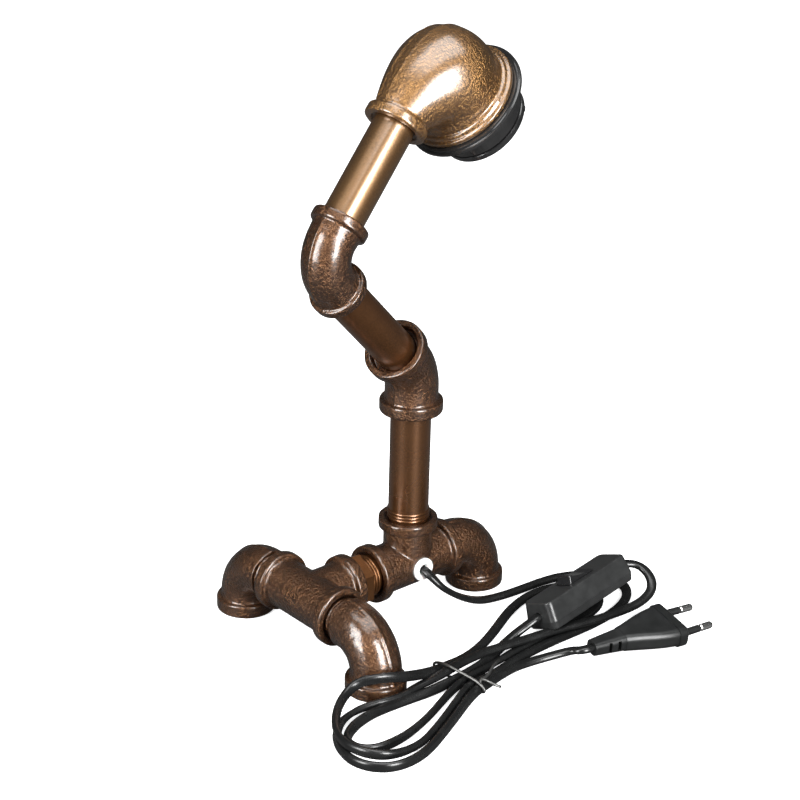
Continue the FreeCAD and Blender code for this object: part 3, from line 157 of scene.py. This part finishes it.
LAMP_CORD_INNER_LOOP = [
    (-83.0, 32, 2.75, 85), (-88.4, 44.2, 2.75, 75), (-93.7, 56, 2.7, 70),
    (-97.8, 67.8, 2.7, 70), (-100.4, 78.2, 2.75, 80), (-101.2, 88.2, 2.8, 90),
    (-100.4, 95.4, 2.8, 90), (-97.8, 100.3, 2.8, 90), (-93.6, 103, 2.8, 90),
    (-88.6, 103.2, 2.8, 85), (-84.6, 101.2, 2.75, 75), (-80.7, 96.8, 2.61, 60),
    (-76.8, 89, 2.38, 40), (-74.4, 79.8, 2.08, 20), (-73.9, 70.7, 1.91, 10),
    (-74.6, 59.5, 1.91, 10), (-75.5, 50.1, 2.08, 20), (-76.4, 41, 2.24, 30),
    (-76.6, 32.9, 2.61, 60), (-76.3, 24.3, 2.75, 85), (-75.6, 14, 2.75, 80),
]
LAMP_CORD_IN = [
    (-73.6, 2.5, 2.56, 55), (-69.2, -9.6, 2.08, 20), (-64.9, -21, 2.2, 0), (-64.2, -30.5, 5.2, 0),
]
PLUG_CORD_OUT = [
    (-65.4, -119.6, 16.2, 0), (-74.6, -119.6, 12.6, 0), (-81.2, -114, 9.2, 0),
    (-83.2, -105, 6.6, 0), (-82.8, -94.7, 5.3, 0), (-81.2, -78, 5.2, 0),
    (-78.5, -63.1, 5.2, 0), (-75.2, -49.5, 5.2, 0), (-72.9, -34.3, 5.2, 0),
    (-70.9, -19.1, 5.3, 0), (-69.2, -5.9, 5.6, 0), (-68.9, 7.2, 5.6, 0), (-69.6, 18, 5.4, 0),
]
PLUG_CORD_LOOP = [
    (-71.0, 27, 5.2, 0), (-71.2, 36.5, 4.6, 10), (-70.8, 46, 3.6, 20),
    (-71.6, 56, 3, 40), (-70.8, 64, 2.8, 60), (-68.8, 71, 2.75, 60),
    (-67.4, 79.6, 2.51, 50), (-68.6, 88.6, 2.38, 40), (-72, 95.6, 2.38, 40),
    (-77.4, 101.8, 2.51, 50), (-84.6, 107, 2.7, 70), (-91.4, 109.8, 2.8, 85),
    (-98.4, 111.2, 2.8, 90), (-105, 110.4, 2.8, 90), (-111, 107.4, 2.8, 90),
    (-116, 102, 2.8, 90), (-118.6, 94.3, 2.8, 90), (-118.4, 85, 2.75, 85),
    (-115.8, 75.3, 2.75, 80), (-111.4, 65.2, 2.75, 80), (-103.6, 49, 2.75, 80),
    (-95.2, 32.8, 2.71, 75), (-90.4, 22, 2.61, 60),
]
PLUG_CORD_IN = [
    (-88.4, 12.4, 2.24, 30), (-86.2, 2.4, 1.75, 0), (-84.8, -9.4, 1.75, 0),
    (-86.6, -22, 1.8, 0), (-90.2, -32, 3, 0), (-95, -40.6, 5, 0),
]
TIE_WIRE_ROUND = [
    (-88.6, 20.4, 0.9), (-80, 21, 0.75), (-70, 21.6, 0.75), (-61.6, 22.4, 0.9),
    (-58.9, 23, 2.6), (-60.4, 23.6, 5.4), (-65, 23.9, 7.4), (-70.6, 23.6, 8.4),
    (-76, 22.8, 7.9), (-82, 21.6, 7.2), (-88, 20.6, 6.6), (-92.8, 20, 5.2),
    (-94.2, 19.8, 3), (-92.8, 19.4, 1.4), (-89.6, 19.2, 0.9),
]
TIE_WIRE_TWIST = [
    (-91.4, 20.6, 6.4), (-90.2, 19.2, 7.4), (-89.4, 17.6, 7.6), (-89.6, 15.6, 7.2),
    (-88.6, 12.4, 7.4), (-86.2, 7.6, 8.4), (-84, 3.4, 8.6), (-82.4, -0.6, 7.8),
]
TIE_WIRE_SHORT_END = [
    (-89.2, 18.6, 7.2), (-91.2, 17.4, 7.4), (-93.4, 15.4, 6), (-96.2, 13.8, 5),
    (-98.6, 13.2, 5.2),
]

# the switch and the plug: centre in millimetres, yaw, pitch and roll in degrees, and how
# far from the centre the cord's last points lie
SWITCH_AT = (-63.4, -75.4, 14.1)
SWITCH_TURN = (-84.2, -5.5, -22.0)
SWITCH_CORD_REACH = (36, 31, 27)
PLUG_AT = (-111.0, -98.7, 7.2)
PLUG_TURN = (-100.0, 0.0, 6.0)
PLUG_CORD_REACH = (58, 50, 42)


# ------------------------------------------------------------------- sizes and colours
class LampFinish(bpy.types.PropertyGroup):
    fitting_colour: FloatVectorProperty(
        name="Fitting colour", description="Dark bronze lacquer of the base and elbows",
        subtype="COLOR", size=3, min=0, max=1, default=(0.086, 0.040, 0.018))
    pipe_colour: FloatVectorProperty(
        name="Pipe colour", description="Bronze lacquer of the pipes",
        subtype="COLOR", size=3, min=0, max=1, default=(0.165, 0.069, 0.023))
    head_colour: FloatVectorProperty(
        name="Head colour", description="Golden bronze lacquer of the head and its pipe",
        subtype="COLOR", size=3, min=0, max=1, default=(0.205, 0.104, 0.034))
    grain: FloatProperty(
        name="Casting grain", description="Size of the sand grain in the castings",
        subtype="DISTANCE", unit="LENGTH", min=0.0002, max=0.005, default=0.0020)
    lump: FloatProperty(
        name="Casting lumps", description="Size of the lumps in the castings",
        subtype="DISTANCE", unit="LENGTH", min=0.001, max=0.02, default=0.0032)


class LampCord(bpy.types.PropertyGroup):
    width: FloatProperty(
        name="Cord width", description="Width of the flat two-core cord",
        subtype="DISTANCE", unit="LENGTH", min=0.003, max=0.01, default=0.0054)
    thickness: FloatProperty(
        name="Cord thickness", description="Thickness of the flat two-core cord",
        subtype="DISTANCE", unit="LENGTH", min=0.002, max=0.008, default=0.0034)
    colour: FloatVectorProperty(
        name="Cord colour", description="Black of the cord's sheath",
        subtype="COLOR", size=3, min=0, max=1, default=(0.006, 0.0062, 0.0062))
    tie_wire: FloatProperty(
        name="Tie wire", description="Thickness of the wire that ties the cord",
        subtype="DISTANCE", unit="LENGTH", min=0.0005, max=0.004, default=0.0015)


class LampStage(bpy.types.PropertyGroup):
    floor_size: FloatProperty(
        name="Floor size", description="Side of the pale floor under the lamp",
        subtype="DISTANCE", unit="LENGTH", min=1, max=40, default=12)
    floor_colour: FloatVectorProperty(
        name="Floor colour", description="Colour of the pale floor",
        subtype="COLOR", size=3, min=0, max=1, default=(0.93, 0.93, 0.93))
    lens: FloatProperty(
        name="Lens", description="Focal length of the camera, in millimetres",
        min=20, max=300, default=104.84)


# -------------------------------------------------------------------------- shader work
class Shader:
    """A material's nodes, made and linked by short calls."""

    def __init__(self, tree):
        self.tree = tree

    def add(self, kind, **inputs):
        """A node with the values or links of its named sockets."""
        node = self.tree.nodes.new("ShaderNode" + kind)
        for name, value in inputs.items():
            self.put(node, name.replace("_", " "), value)
        return node

    def put(self, node, name, value):
        """Sets or links one socket."""
        socket = node.inputs[name]
        if isinstance(value, bpy.types.NodeSocket):
            self.tree.links.new(value, socket)
        else:
            socket.default_value = value

    def noise(self, place, size, detail=3.0, roughness=0.55):
        """Noise whose patches are about size metres across."""
        node = self.add(
            "TexNoise", Vector=place, Scale=1 / size, Detail=detail, Roughness=roughness)
        return node.outputs["Fac"]

    def spread(self, value, low, high, to_low=0.0, to_high=1.0):
        """A value stretched from one range to another, and held inside it."""
        node = self.add(
            "MapRange", Value=value, From_Min=low, From_Max=high, To_Min=to_low, To_Max=to_high)
        return node.outputs["Result"]

    def math(self, operation, first, second):
        """Two values put together."""
        node = self.tree.nodes.new("ShaderNodeMath")
        node.operation = operation
        self.put_at(node, 0, first)
        self.put_at(node, 1, second)
        return node.outputs[0]

    def put_at(self, node, index, value):
        """Sets or links a socket by its number."""
        if isinstance(value, bpy.types.NodeSocket):
            self.tree.links.new(value, node.inputs[index])
        else:
            node.inputs[index].default_value = value

    def mix(self, share, first, second):
        """A colour between two colours."""
        node = self.tree.nodes.new("ShaderNodeMix")
        node.data_type = "RGBA"
        self.put_at(node, 0, share)
        self.put_at(node, 6, first)
        self.put_at(node, 7, second)
        return node.outputs[2]

    def bump(self, height, strength, distance, normal=None):
        """A normal that follows a height, in metres."""
        node = self.add("Bump", Height=height, Strength=strength, Distance=distance)
        if normal is not None:
            self.put(node, "Normal", normal)
        return node.outputs["Normal"]


def rgba(colour, gain=1.0):
    """A colour with its alpha, brighter or darker by gain."""
    return (*(min(1.0, channel * gain) for channel in colour), 1.0)


def group(name, inputs, outputs):
    """An empty shader group with float inputs, each with its default, and its outputs."""
    tree = bpy.data.node_groups.new(name, "ShaderNodeTree")
    for label, value in inputs.items():
        socket = tree.interface.new_socket(label, in_out="INPUT", socket_type="NodeSocketFloat")
        socket.default_value = value
    for label in outputs:
        tree.interface.new_socket(label, in_out="OUTPUT", socket_type="NodeSocketFloat")
    return tree, tree.nodes.new("NodeGroupInput"), tree.nodes.new("NodeGroupOutput")


def cast_skin_group():
    """Sand pits, soft lumps, flakes and worn patches of a lacquered casting."""
    tree, given, made = group(
        "Cast skin", {"Grain": 0.0012, "Lump": 0.0032}, ("Height", "Speckle", "Patch"))
    shader = Shader(tree)
    place = shader.add("TexCoord").outputs["Object"]
    grain = shader.add("TexNoise", Vector=place, Detail=2.0, Roughness=0.7)
    shader.put(grain, "Scale", shader.math("DIVIDE", 1.0, given.outputs["Grain"]))
    pits = shader.spread(grain.outputs["Fac"], 0.36, 0.60)
    lump = shader.add("TexVoronoi", Vector=place)
    lump.feature = "SMOOTH_F1"
    shader.put(lump, "Scale", shader.math("DIVIDE", 1.0, given.outputs["Lump"]))
    patch = shader.spread(shader.noise(place, 0.022, 2.0, 0.5), 0.30, 0.70)
    depth = shader.spread(patch, 0, 1, 1.0, 0.7)
    raised = shader.math("MULTIPLY", lump.outputs["Distance"], 0.35)
    shader.put(made, "Height", shader.math("ADD", shader.math("MULTIPLY", pits, depth), raised))
    shader.put(made, "Speckle", shader.spread(grain.outputs["Fac"], 0.38, 0.66))
    shader.put(made, "Patch", patch)
    return tree


def fine_moulding_group():
    """Very fine grain and faint handling marks of a black moulding."""
    tree, given, made = group("Fine moulding", {"Grain": 0.0006}, ("Height", "Mark"))
    shader = Shader(tree)
    place = shader.add("TexCoord").outputs["Object"]
    grain = shader.add("TexNoise", Vector=place, Detail=2.0)
    shader.put(grain, "Scale", shader.math("DIVIDE", 1.0, given.outputs["Grain"]))
    shader.put(made, "Height", grain.outputs["Fac"])
    shader.put(made, "Mark", shader.spread(shader.noise(place, 0.012, 5.0, 0.7), 0.4, 0.7))
    return tree


def placed(shader, name):
    """A shared group, put in a material."""
    node = shader.tree.nodes.new("ShaderNodeGroup")
    node.node_tree = bpy.data.node_groups[name]
    return node


def new_material(name):
    """A material, its shader helper and its Principled BSDF."""
    material = bpy.data.materials.new(name)
    material.use_nodes = True
    return material, Shader(material.node_tree), material.node_tree.nodes["Principled BSDF"]


def bronze(name, colour, grain, lump, depth, rough, coat_index):
    """Metallic bronze lacquer, with a clear coat, over a rough or smooth skin."""
    material, shader, principled = new_material(name)
    skin = placed(shader, "Cast skin")
    shader.put(skin, "Grain", grain)
    shader.put(skin, "Lump", lump)
    patch = skin.outputs["Patch"]
    shade = shader.mix(patch, rgba(colour, WORN_GAIN), rgba(colour, FRESH_GAIN))
    flake = shader.math("MULTIPLY", skin.outputs["Speckle"], FLAKE_SHARE)
    shader.put(principled, "Base Color", shader.mix(flake, shade, rgba(colour, FLAKE_GAIN)))
    shader.put(principled, "Metallic", 0.9)
    shader.put(principled, "Roughness", shader.spread(patch, 0, 1, rough + 0.04, rough - 0.03))
    shader.put(principled, "Coat Weight", 1.0)
    shader.put(principled, "Coat IOR", coat_index)
    shader.put(principled, "Coat Roughness", rough * COAT_SHARE)
    shader.put(principled, "Normal", shader.bump(skin.outputs["Height"], 1.0, depth))
    return material


def black_plastic(name, colour, grain, depth, rough, coat=0.0):
    """Black moulded plastic with a fine grain and faint marks."""
    material, shader, principled = new_material(name)
    skin = placed(shader, "Fine moulding")
    shader.put(skin, "Grain", grain)
    mark = skin.outputs["Mark"]
    shader.put(principled, "Base Color", shader.mix(mark, rgba(colour), rgba(colour, 1.5)))
    shader.put(principled, "Roughness", shader.spread(mark, 0, 1, rough - 0.04, rough + 0.06))
    shader.put(principled, "Coat Weight", coat)
    shader.put(principled, "Coat Roughness", 0.08)
    shader.put(principled, "Normal", shader.bump(skin.outputs["Height"], 1.0, depth))
    return material


def plain_metal(name, colour, rough, depth=0.00002):
    """Drawn or plated metal with faint unevenness."""
    material, shader, principled = new_material(name)
    skin = placed(shader, "Fine moulding")
    shader.put(skin, "Grain", 0.0009)
    mark = skin.outputs["Mark"]
    shader.put(principled, "Base Color", shader.mix(mark, rgba(colour), rgba(colour, 0.85)))
    shader.put(principled, "Metallic", 1.0)
    shader.put(principled, "Roughness", shader.spread(mark, 0, 1, rough, rough + 0.1))
    shader.put(principled, "Normal", shader.bump(skin.outputs["Height"], 1.0, depth))
    return material


def pale_plastic(name, colour, rough):
    """Nylon, ceramic or wire insulation with faint marks."""
    material, shader, principled = new_material(name)
    skin = placed(shader, "Fine moulding")
    shader.put(skin, "Grain", 0.0008)
    mark = skin.outputs["Mark"]
    shader.put(principled, "Base Color", shader.mix(mark, rgba(colour), rgba(colour, 0.93)))
    shader.put(principled, "Roughness", rough)
    shader.put(principled, "Subsurface Weight", 0.08)
    shader.put(principled, "Subsurface Scale", 0.001)
    shader.put(principled, "Normal", shader.bump(skin.outputs["Height"], 1.0, 0.00002))
    return material


def make_materials(scene):
    """Every finish of the lamp, by the name of its slot."""
    finish = scene.lamp_finish
    cast_skin_group()
    fine_moulding_group()
    cast, smooth = (finish.grain * 0.8, finish.lump), (finish.grain * 0.5, finish.lump * 2)
    fitting, pipe, head = finish.fitting_colour, finish.pipe_colour, finish.head_colour
    return {
        "fitting_bronze": bronze("fitting bronze", fitting, *cast, 0.00046, 0.30, 1.6),
        "pipe_bronze": bronze("dark pipe bronze", pipe, *smooth, 0.00002, 0.36, 1.25),
        "post_bronze": bronze("post bronze", pipe, *smooth, 0.00002, 0.27, 1.5),
        "arm_bronze": bronze("golden pipe bronze", head, *smooth, 0.00002, 0.34, 1.9),
        "head_bronze": bronze("head bronze", head, *cast, 0.00042, 0.34, 1.85),
        "black_moulding": black_plastic(
            "black moulding", (0.012, 0.012, 0.0122), 0.0008, 0.00002, 0.22, 0.6),
        "white_insulator": pale_plastic("white insulator", (0.82, 0.81, 0.77), 0.5),
        "shell_metal": plain_metal("shell metal", (0.75, 0.72, 0.62), 0.25),
        "contact_bronze": plain_metal("contact bronze", (0.72, 0.5, 0.22), 0.3),
        "steel_screw": plain_metal("steel screw", (0.6, 0.6, 0.6), 0.3),
        "brown_lead": pale_plastic("brown lead", (0.25, 0.11, 0.05), 0.4),
        "blue_lead": pale_plastic("blue lead", (0.05, 0.15, 0.5), 0.4),
        "white_nylon": pale_plastic("white nylon", (0.84, 0.84, 0.83), 0.32),
        "cord_pvc": black_plastic("cord sheath", scene.lamp_cord.colour, 0.0012, 0.00003, 0.26),
        "tie_wire": plain_metal("tie wire", (0.16, 0.16, 0.155), 0.38, 0.00005),
        "black_plastic": black_plastic(
            "black plastic", (0.016, 0.0165, 0.0165), 0.0005, 0.00003, 0.34),
        "plug_plastic": black_plastic(
            "plug plastic", (0.007, 0.0075, 0.0075), 0.0005, 0.00003, 0.36),
        "gloss_black": black_plastic(
            "gloss black", (0.009, 0.009, 0.0095), 0.0015, 0.00001, 0.10, 0.4),
        "nickel": plain_metal("nickel", (0.78, 0.78, 0.77), 0.18),
    }


def finish_of(node):
    """The material of a node's slot."""
    return bpy.data.materials[MATERIAL_NAMES[SLOT_OF[node]]]


def dress(*nodes):
    """Puts their finishes on CAD nodes."""
    for node in nodes:
        mesh = frame["nodes"][node].data
        mesh.materials.clear()
        mesh.materials.append(finish_of(node))


# ------------------------------------------------------------------------ modelling work
def new_piece(name, mesh, node):
    """A finished piece that stands for a CAD node and rides with it."""
    mesh.name = name
    piece = bpy.data.objects.new(name, mesh)
    bpy.context.scene.collection.objects.link(piece)
    mesh.materials.clear()
    mesh.materials.append(finish_of(node))
    for face in mesh.polygons:
        face.use_smooth = True
    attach(piece, BODY_OF[node])
    return piece


def baked(piece):
    """The mesh of an object with its modifiers worked in; the object is removed."""
    graph = bpy.context.evaluated_depsgraph_get()
    mesh = bpy.data.meshes.new_from_object(piece.evaluated_get(graph), depsgraph=graph)
    bpy.data.objects.remove(piece)
    return mesh


def cast_mesh(node, grid, rounds, lumps, lump_size):
    """A copy of a fitting with the soft edges and lumps of a sand casting."""
    work = bmesh.new()
    work.from_mesh(frame["nodes"][node].data)
    bmesh.ops.remove_doubles(work, verts=work.verts, dist=0.000002)
    mesh = bpy.data.meshes.new("casting")
    work.to_mesh(mesh)
    work.free()
    piece = bpy.data.objects.new("casting", mesh)
    bpy.context.scene.collection.objects.link(piece)
    skin = piece.modifiers.new("skin", "REMESH")
    skin.mode = "VOXEL"
    skin.voxel_size = grid * MM
    soft = piece.modifiers.new("soft", "SMOOTH")
    soft.factor = 0.6
    soft.iterations = rounds
    sand = bpy.data.textures.new(node + " sand", "CLOUDS")
    sand.noise_scale = lump_size
    sand.noise_depth = 2
    rough = piece.modifiers.new("rough", "DISPLACE")
    rough.texture = sand
    rough.texture_coords = "LOCAL"
    rough.strength = lumps * MM * 2
    rough.mid_level = 0.5
    return baked(piece)


def raise_seam(mesh, seam):
    """Draws a casting's seam: a thin ridge between two slightly hollow flanks."""
    at, across, low, far, begin, stop = seam
    origin, across, low, far = Vector(at) * MM, Vector(across), Vector(low), Vector(far)
    flank, ridge = SEAM_FLANK_W * MM, SEAM_RIDGE_HALF_W * MM
    normals = [vertex.normal.copy() for vertex in mesh.vertices]
    for vertex, normal in zip(mesh.vertices, normals):
        offset = vertex.co - origin
        fade_in = min(1.0, max(0.0, (offset.dot(low) / MM - begin) / SEAM_FADE_IN))
        fade_out = min(1.0, max(0.0, (stop - offset.dot(far) / MM) / SEAM_FADE_OUT))
        away = abs(offset.dot(across))
        hollow = SEAM_FLANK_DEPTH * MM * (away / flank) * math.exp(1 - away / flank)
        crest = SEAM_RIDGE_H * MM * max(0.0, 1 - (away / ridge) ** 2)
        vertex.co += normal * (crest - hollow) * fade_in * fade_out


def stand_on_floor(mesh):
    """Keeps a mesh from going under the table top."""
    for vertex in mesh.vertices:
        vertex.co.z = max(0.0, vertex.co.z)


def mm_points(points):
    """Points given in millimetres, in metres."""
    return [tuple(value * MM for value in point[:3]) for point in points]


def spline_object(points, turns=None):
    """A smooth NURBS line with these control points, as a curve object."""
    curve = bpy.data.curves.new("line", "CURVE")
    curve.dimensions = "3D"
    curve.twist_mode = "Z_UP"
    curve.resolution_u = 8
    spline = curve.splines.new("NURBS")
    spline.points.add(len(points) - 1)
    for index, point in enumerate(points):
        spline.points[index].co = (*point, 1)
        if turns is not None:
            spline.points[index].tilt = math.radians(turns[index])
    spline.order_u = 3
    spline.use_endpoint_u = True
    line = bpy.data.objects.new("line", curve)
    bpy.context.scene.collection.objects.link(line)
    return line


def cord_profile(width, thickness, sides=20):
    """The section of a flat two-core cord: an oval with slightly flat faces."""
    curve = bpy.data.curves.new("section", "CURVE")
    curve.dimensions = "2D"
    spline = curve.splines.new("POLY")
    spline.points.add(sides - 1)
    round_end = thickness / 2
    straight = width / 2 - round_end
    for index in range(sides):
        angle = math.tau * (index + 0.5) / sides
        across = math.cos(angle) * round_end + math.copysign(straight, math.cos(angle))
        spline.points[index].co = (across, math.sin(angle) * round_end, 0, 1)
    spline.use_cyclic_u = True
    section = bpy.data.objects.new("section", curve)
    bpy.context.scene.collection.objects.link(section)
    return section


def flat_cord(name, table, node):
    """The flat cord along a table's line. Returns its piece, and its line's points."""
    cord = bpy.context.scene.lamp_cord
    line = spline_object(mm_points(table), [point[3] for point in table])
    bpy.context.view_layer.update()
    wire = bpy.data.meshes.new_from_object(line)
    path = [tuple(vertex.co) for vertex in wire.vertices]
    bpy.data.meshes.remove(wire)
    section = cord_profile(cord.width, cord.thickness)
    line.data.bevel_mode = "OBJECT"
    line.data.bevel_object = section
    line.data.use_fill_caps = True
    bpy.context.view_layer.update()
    mesh = baked(line)
    bpy.data.objects.remove(section)
    return new_piece(name, mesh, node), path


def round_wire(name, points, diameter, node):
    """A round wire along its points, closed at both ends."""
    line = spline_object(mm_points(points))
    line.data.bevel_depth = diameter / 2
    line.data.bevel_resolution = 4
    line.data.use_fill_caps = True
    bpy.context.view_layer.update()
    return new_piece(name, baked(line), node)


def joined_pieces(pieces):
    """The first piece, with the others' meshes added to it."""
    work = bmesh.new()
    for piece in pieces:
        work.from_mesh(piece.data)
    work.to_mesh(pieces[0].data)
    work.free()
    for piece in pieces[1:]:
        bpy.data.objects.remove(piece)
    return pieces[0]


def line_length(path):
    """Length of a line of points, in metres."""
    return sum((Vector(b) - Vector(a)).length for a, b in zip(path, path[1:]))


# ----------------------------------------------------------------------------- operators
class LAMP_OT_stage(bpy.types.Operator):
    """Makes the camera, the pale floor and the soft lights"""
    bl_idname = "lamp.stage"
    bl_label = "Camera, Floor and Lights"

    def execute(self, context):
        scene = context.scene
        stage = scene.lamp_stage
        camera_data = bpy.data.cameras.new("camera")
        camera_data.lens = stage.lens
        camera_data.sensor_width = 36
        camera_data.clip_end = 60
        camera = bpy.data.objects.new("camera", camera_data)
        turn = Matrix((CAMERA_RIGHT, CAMERA_UP, CAMERA_BACK)).transposed().to_4x4()
        camera.matrix_world = Matrix.Translation(CAMERA_AT) @ turn
        scene.collection.objects.link(camera)
        scene.camera = camera

        half = stage.floor_size / 2
        work = bmesh.new()
        bmesh.ops.create_grid(work, x_segments=1, y_segments=1, size=half)
        mesh = bpy.data.meshes.new("floor")
        work.to_mesh(mesh)
        work.free()
        material, shader, principled = new_material("pale floor")
        place = shader.add("TexCoord").outputs["Object"]
        pale = stage.floor_colour
        shade = shader.mix(shader.noise(place, 0.4), rgba(pale), rgba(pale, 1.02))
        seen = shader.add("LightPath").outputs["Is Camera Ray"]
        shader.put(principled, "Base Color", shader.mix(seen, FLOOR_IN_MIRROR, shade))
        shader.put(principled, "Roughness", 0.6)
        shader.put(principled, "Specular IOR Level", 0.2)
        shader.put(principled, "Emission Color", (1, 1, 1, 1))
        shader.put(principled, "Emission Strength", shader.math("MULTIPLY", seen, FLOOR_GLOW))
        mesh.materials.append(material)
        floor = bpy.data.objects.new("floor", mesh)
        scene.collection.objects.link(floor)

        for name, at, size, power in SOFTBOXES:
            light_data = bpy.data.lights.new(name, "AREA")
            light_data.shape = "RECTANGLE"
            light_data.size, light_data.size_y = size
            light_data.energy = power
            light = bpy.data.objects.new(name, light_data)
            aim = Vector(LIGHT_AIM) - Vector(at)
            light.rotation_euler = aim.to_track_quat("-Z", "Y").to_euler()
            light.location = at
            scene.collection.objects.link(light)

        world = bpy.data.worlds.new("studio")
        world.use_nodes = True
        shader = Shader(world.node_tree)
        rays = shader.add("LightPath")
        strength = shader.spread(rays.outputs["Is Camera Ray"], 0, 1, SKY_IN_MIRROR, 1.0)
        background = world.node_tree.nodes["Background"]
        shader.put(background, "Color", (1, 1, 1, 1))
        shader.put(background, "Strength", strength)
        scene.world = world
        scene.view_settings.view_transform = "Standard"
        return {"FINISHED"}


class LAMP_OT_cords(bpy.types.Operator):
    """Lays the flat cord from the lamp to the switch and on to the plug, and ties it"""
    bl_idname = "lamp.cords"
    bl_label = "Cord and Tie"

    def execute(self, context):
        cord = context.scene.lamp_cord
        lamp_table = (
            LAMP_CORD_OUT + LAMP_CORD_TOP_LOOP + LAMP_CORD_BACK + LAMP_CORD_INNER_LOOP
            + LAMP_CORD_IN + end_points(SWITCH_AT, SWITCH_TURN, SWITCH_CORD_REACH, -1)
        )
        lamp, lamp_path = flat_cord("lamp_to_switch_cord", lamp_table, "lamp_cord")
        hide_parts("lamp_cord", "lamp_cord_loop", "lamp_cord_end", "cord_hank")
        plug_table = (
            end_points(SWITCH_AT, SWITCH_TURN, reversed(SWITCH_CORD_REACH), 1)
            + PLUG_CORD_OUT + PLUG_CORD_LOOP + PLUG_CORD_IN
            + end_points(PLUG_AT, PLUG_TURN, PLUG_CORD_REACH, -1)
        )
        plug, plug_path = flat_cord("switch_to_plug_cord", plug_table, "plug_cord_start")
        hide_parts("plug_cord_start", "plug_cord_end")
        loops = [
            round_wire("cord_tie_wire", TIE_WIRE_ROUND, cord.tie_wire, "hank_tie"),
            round_wire("cord_tie_twist", TIE_WIRE_TWIST, cord.tie_wire, "hank_tie"),
            round_wire("cord_tie_end", TIE_WIRE_SHORT_END, cord.tie_wire, "hank_tie"),
        ]
        tie = joined_pieces(loops)
        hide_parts("hank_tie")
        print("cord lengths", round(line_length(lamp_path), 3), round(line_length(plug_path), 3))
        return {"FINISHED"}


def end_points(at, turn, reach, side):
    """The cord's last points at one side of the switch or plug: -1 is the lamp's side."""
    yaw, pitch, roll = (math.radians(angle) for angle in turn)
    turned = Matrix.Rotation(yaw, 4, "Z") @ Matrix.Rotation(pitch, 4, "Y")
    turned = turned @ Matrix.Rotation(roll, 4, "X")
    return [(*(Vector(at) + turned @ Vector((side * along, 0, 0))), 0) for along in reach]


class LAMP_OT_castings(bpy.types.Operator):
    """Gives the tees, elbows and head the soft edges and lumps of sand castings"""
    bl_idname = "lamp.castings"
    bl_label = "Cast Fittings and Head"

    def execute(self, context):
        lump = context.scene.lamp_finish.lump
        for node, (grid, rounds, lumps) in CASTINGS.items():
            mesh = cast_mesh(node, grid, rounds, lumps, lump)
            stand_on_floor(mesh)
            if node in SEAMS:
                raise_seam(mesh, SEAMS[node])
            piece = new_piece(node + "_casting", mesh, node)
            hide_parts(node)
        return {"FINISHED"}


class LAMP_OT_pipes(bpy.types.Operator):
    """Finishes the pipes and the hex nipple"""
    bl_idname = "lamp.pipes"
    bl_label = "Pipes and Nipple"

    def execute(self, context):
        dress("post_pipe", "mid_pipe", "upper_pipe", "hex_nipple")
        return {"FINISHED"}


class LAMP_OT_lampholder(bpy.types.Operator):
    """Finishes the lampholder, its ring and what they hold"""
    bl_idname = "lamp.lampholder"
    bl_label = "Lampholder"

    def execute(self, context):
        dress(
            "lampholder_body", "shade_ring", "lampholder_core", "core_screws",
            "terminal_screws", "screw_shell", "centre_contact", "side_contact",
            "lead_live", "lead_neutral",
        )
        return {"FINISHED"}


class LAMP_OT_wiring(bpy.types.Operator):
    """Finishes the grommet, the anchor and the cord inside the lamp"""
    bl_idname = "lamp.wiring"
    bl_label = "Grommet and Inner Cord"

    def execute(self, context):
        dress(
            "cord_grommet", "cord_anchor", "inner_cord_post", "inner_cord_elbow",
            "inner_cord_arm", "inner_cord_head",
        )
        return {"FINISHED"}


class LAMP_OT_switch(bpy.types.Operator):
    """Finishes the switch on the cord"""
    bl_idname = "lamp.switch"
    bl_label = "Switch"

    def execute(self, context):
        dress(*(node for node in frame["nodes"] if node.startswith("switch_")))
        return {"FINISHED"}


class LAMP_OT_plug(bpy.types.Operator):
    """Finishes the flat plug"""
    bl_idname = "lamp.plug"
    bl_label = "Plug"

    def execute(self, context):
        dress("plug_body", "plug_pins", "plug_pin_sleeves")
        return {"FINISHED"}


class LAMP_OT_materials(bpy.types.Operator):
    """Mixes the lamp's finishes"""
    bl_idname = "lamp.materials"
    bl_label = "Finishes"

    def execute(self, context):
        for slot, material in make_materials(context.scene).items():
            MATERIAL_NAMES[slot] = material.name
        return {"FINISHED"}


STEPS = (
    "stage", "materials", "cords", "castings", "pipes", "lampholder", "wiring", "switch", "plug",
)


class LAMP_PT_panel(bpy.types.Panel):
    """Lists the steps that make the lamp"""
    bl_label = "Pipe Table Lamp"
    bl_idname = "LAMP_PT_panel"
    bl_space_type = "VIEW_3D"
    bl_region_type = "UI"
    bl_category = "Pipe Lamp"

    def draw(self, context):
        column = self.layout.column()
        scene = context.scene
        for settings in (scene.lamp_finish, scene.lamp_cord, scene.lamp_stage):
            for name in settings.__annotations__:
                column.prop(settings, name)
        for step in STEPS:
            column.operator("lamp." + step)


CLASSES = (
    LampFinish, LampCord, LampStage, LAMP_OT_stage, LAMP_OT_materials, LAMP_OT_cords,
    LAMP_OT_castings, LAMP_OT_pipes, LAMP_OT_lampholder, LAMP_OT_wiring, LAMP_OT_switch,
    LAMP_OT_plug, LAMP_PT_panel,
)


def register():
    for cls in CLASSES:
        bpy.utils.register_class(cls)
    bpy.types.Scene.lamp_finish = PointerProperty(type=LampFinish)
    bpy.types.Scene.lamp_cord = PointerProperty(type=LampCord)
    bpy.types.Scene.lamp_stage = PointerProperty(type=LampStage)


def unregister():
    del bpy.types.Scene.lamp_stage
    del bpy.types.Scene.lamp_cord
    del bpy.types.Scene.lamp_finish
    for cls in reversed(CLASSES):
        bpy.utils.unregister_class(cls)


def main():
    register()
    for step in STEPS:
        getattr(bpy.ops.lamp, step)()


if __name__ == "__main__":
    main()
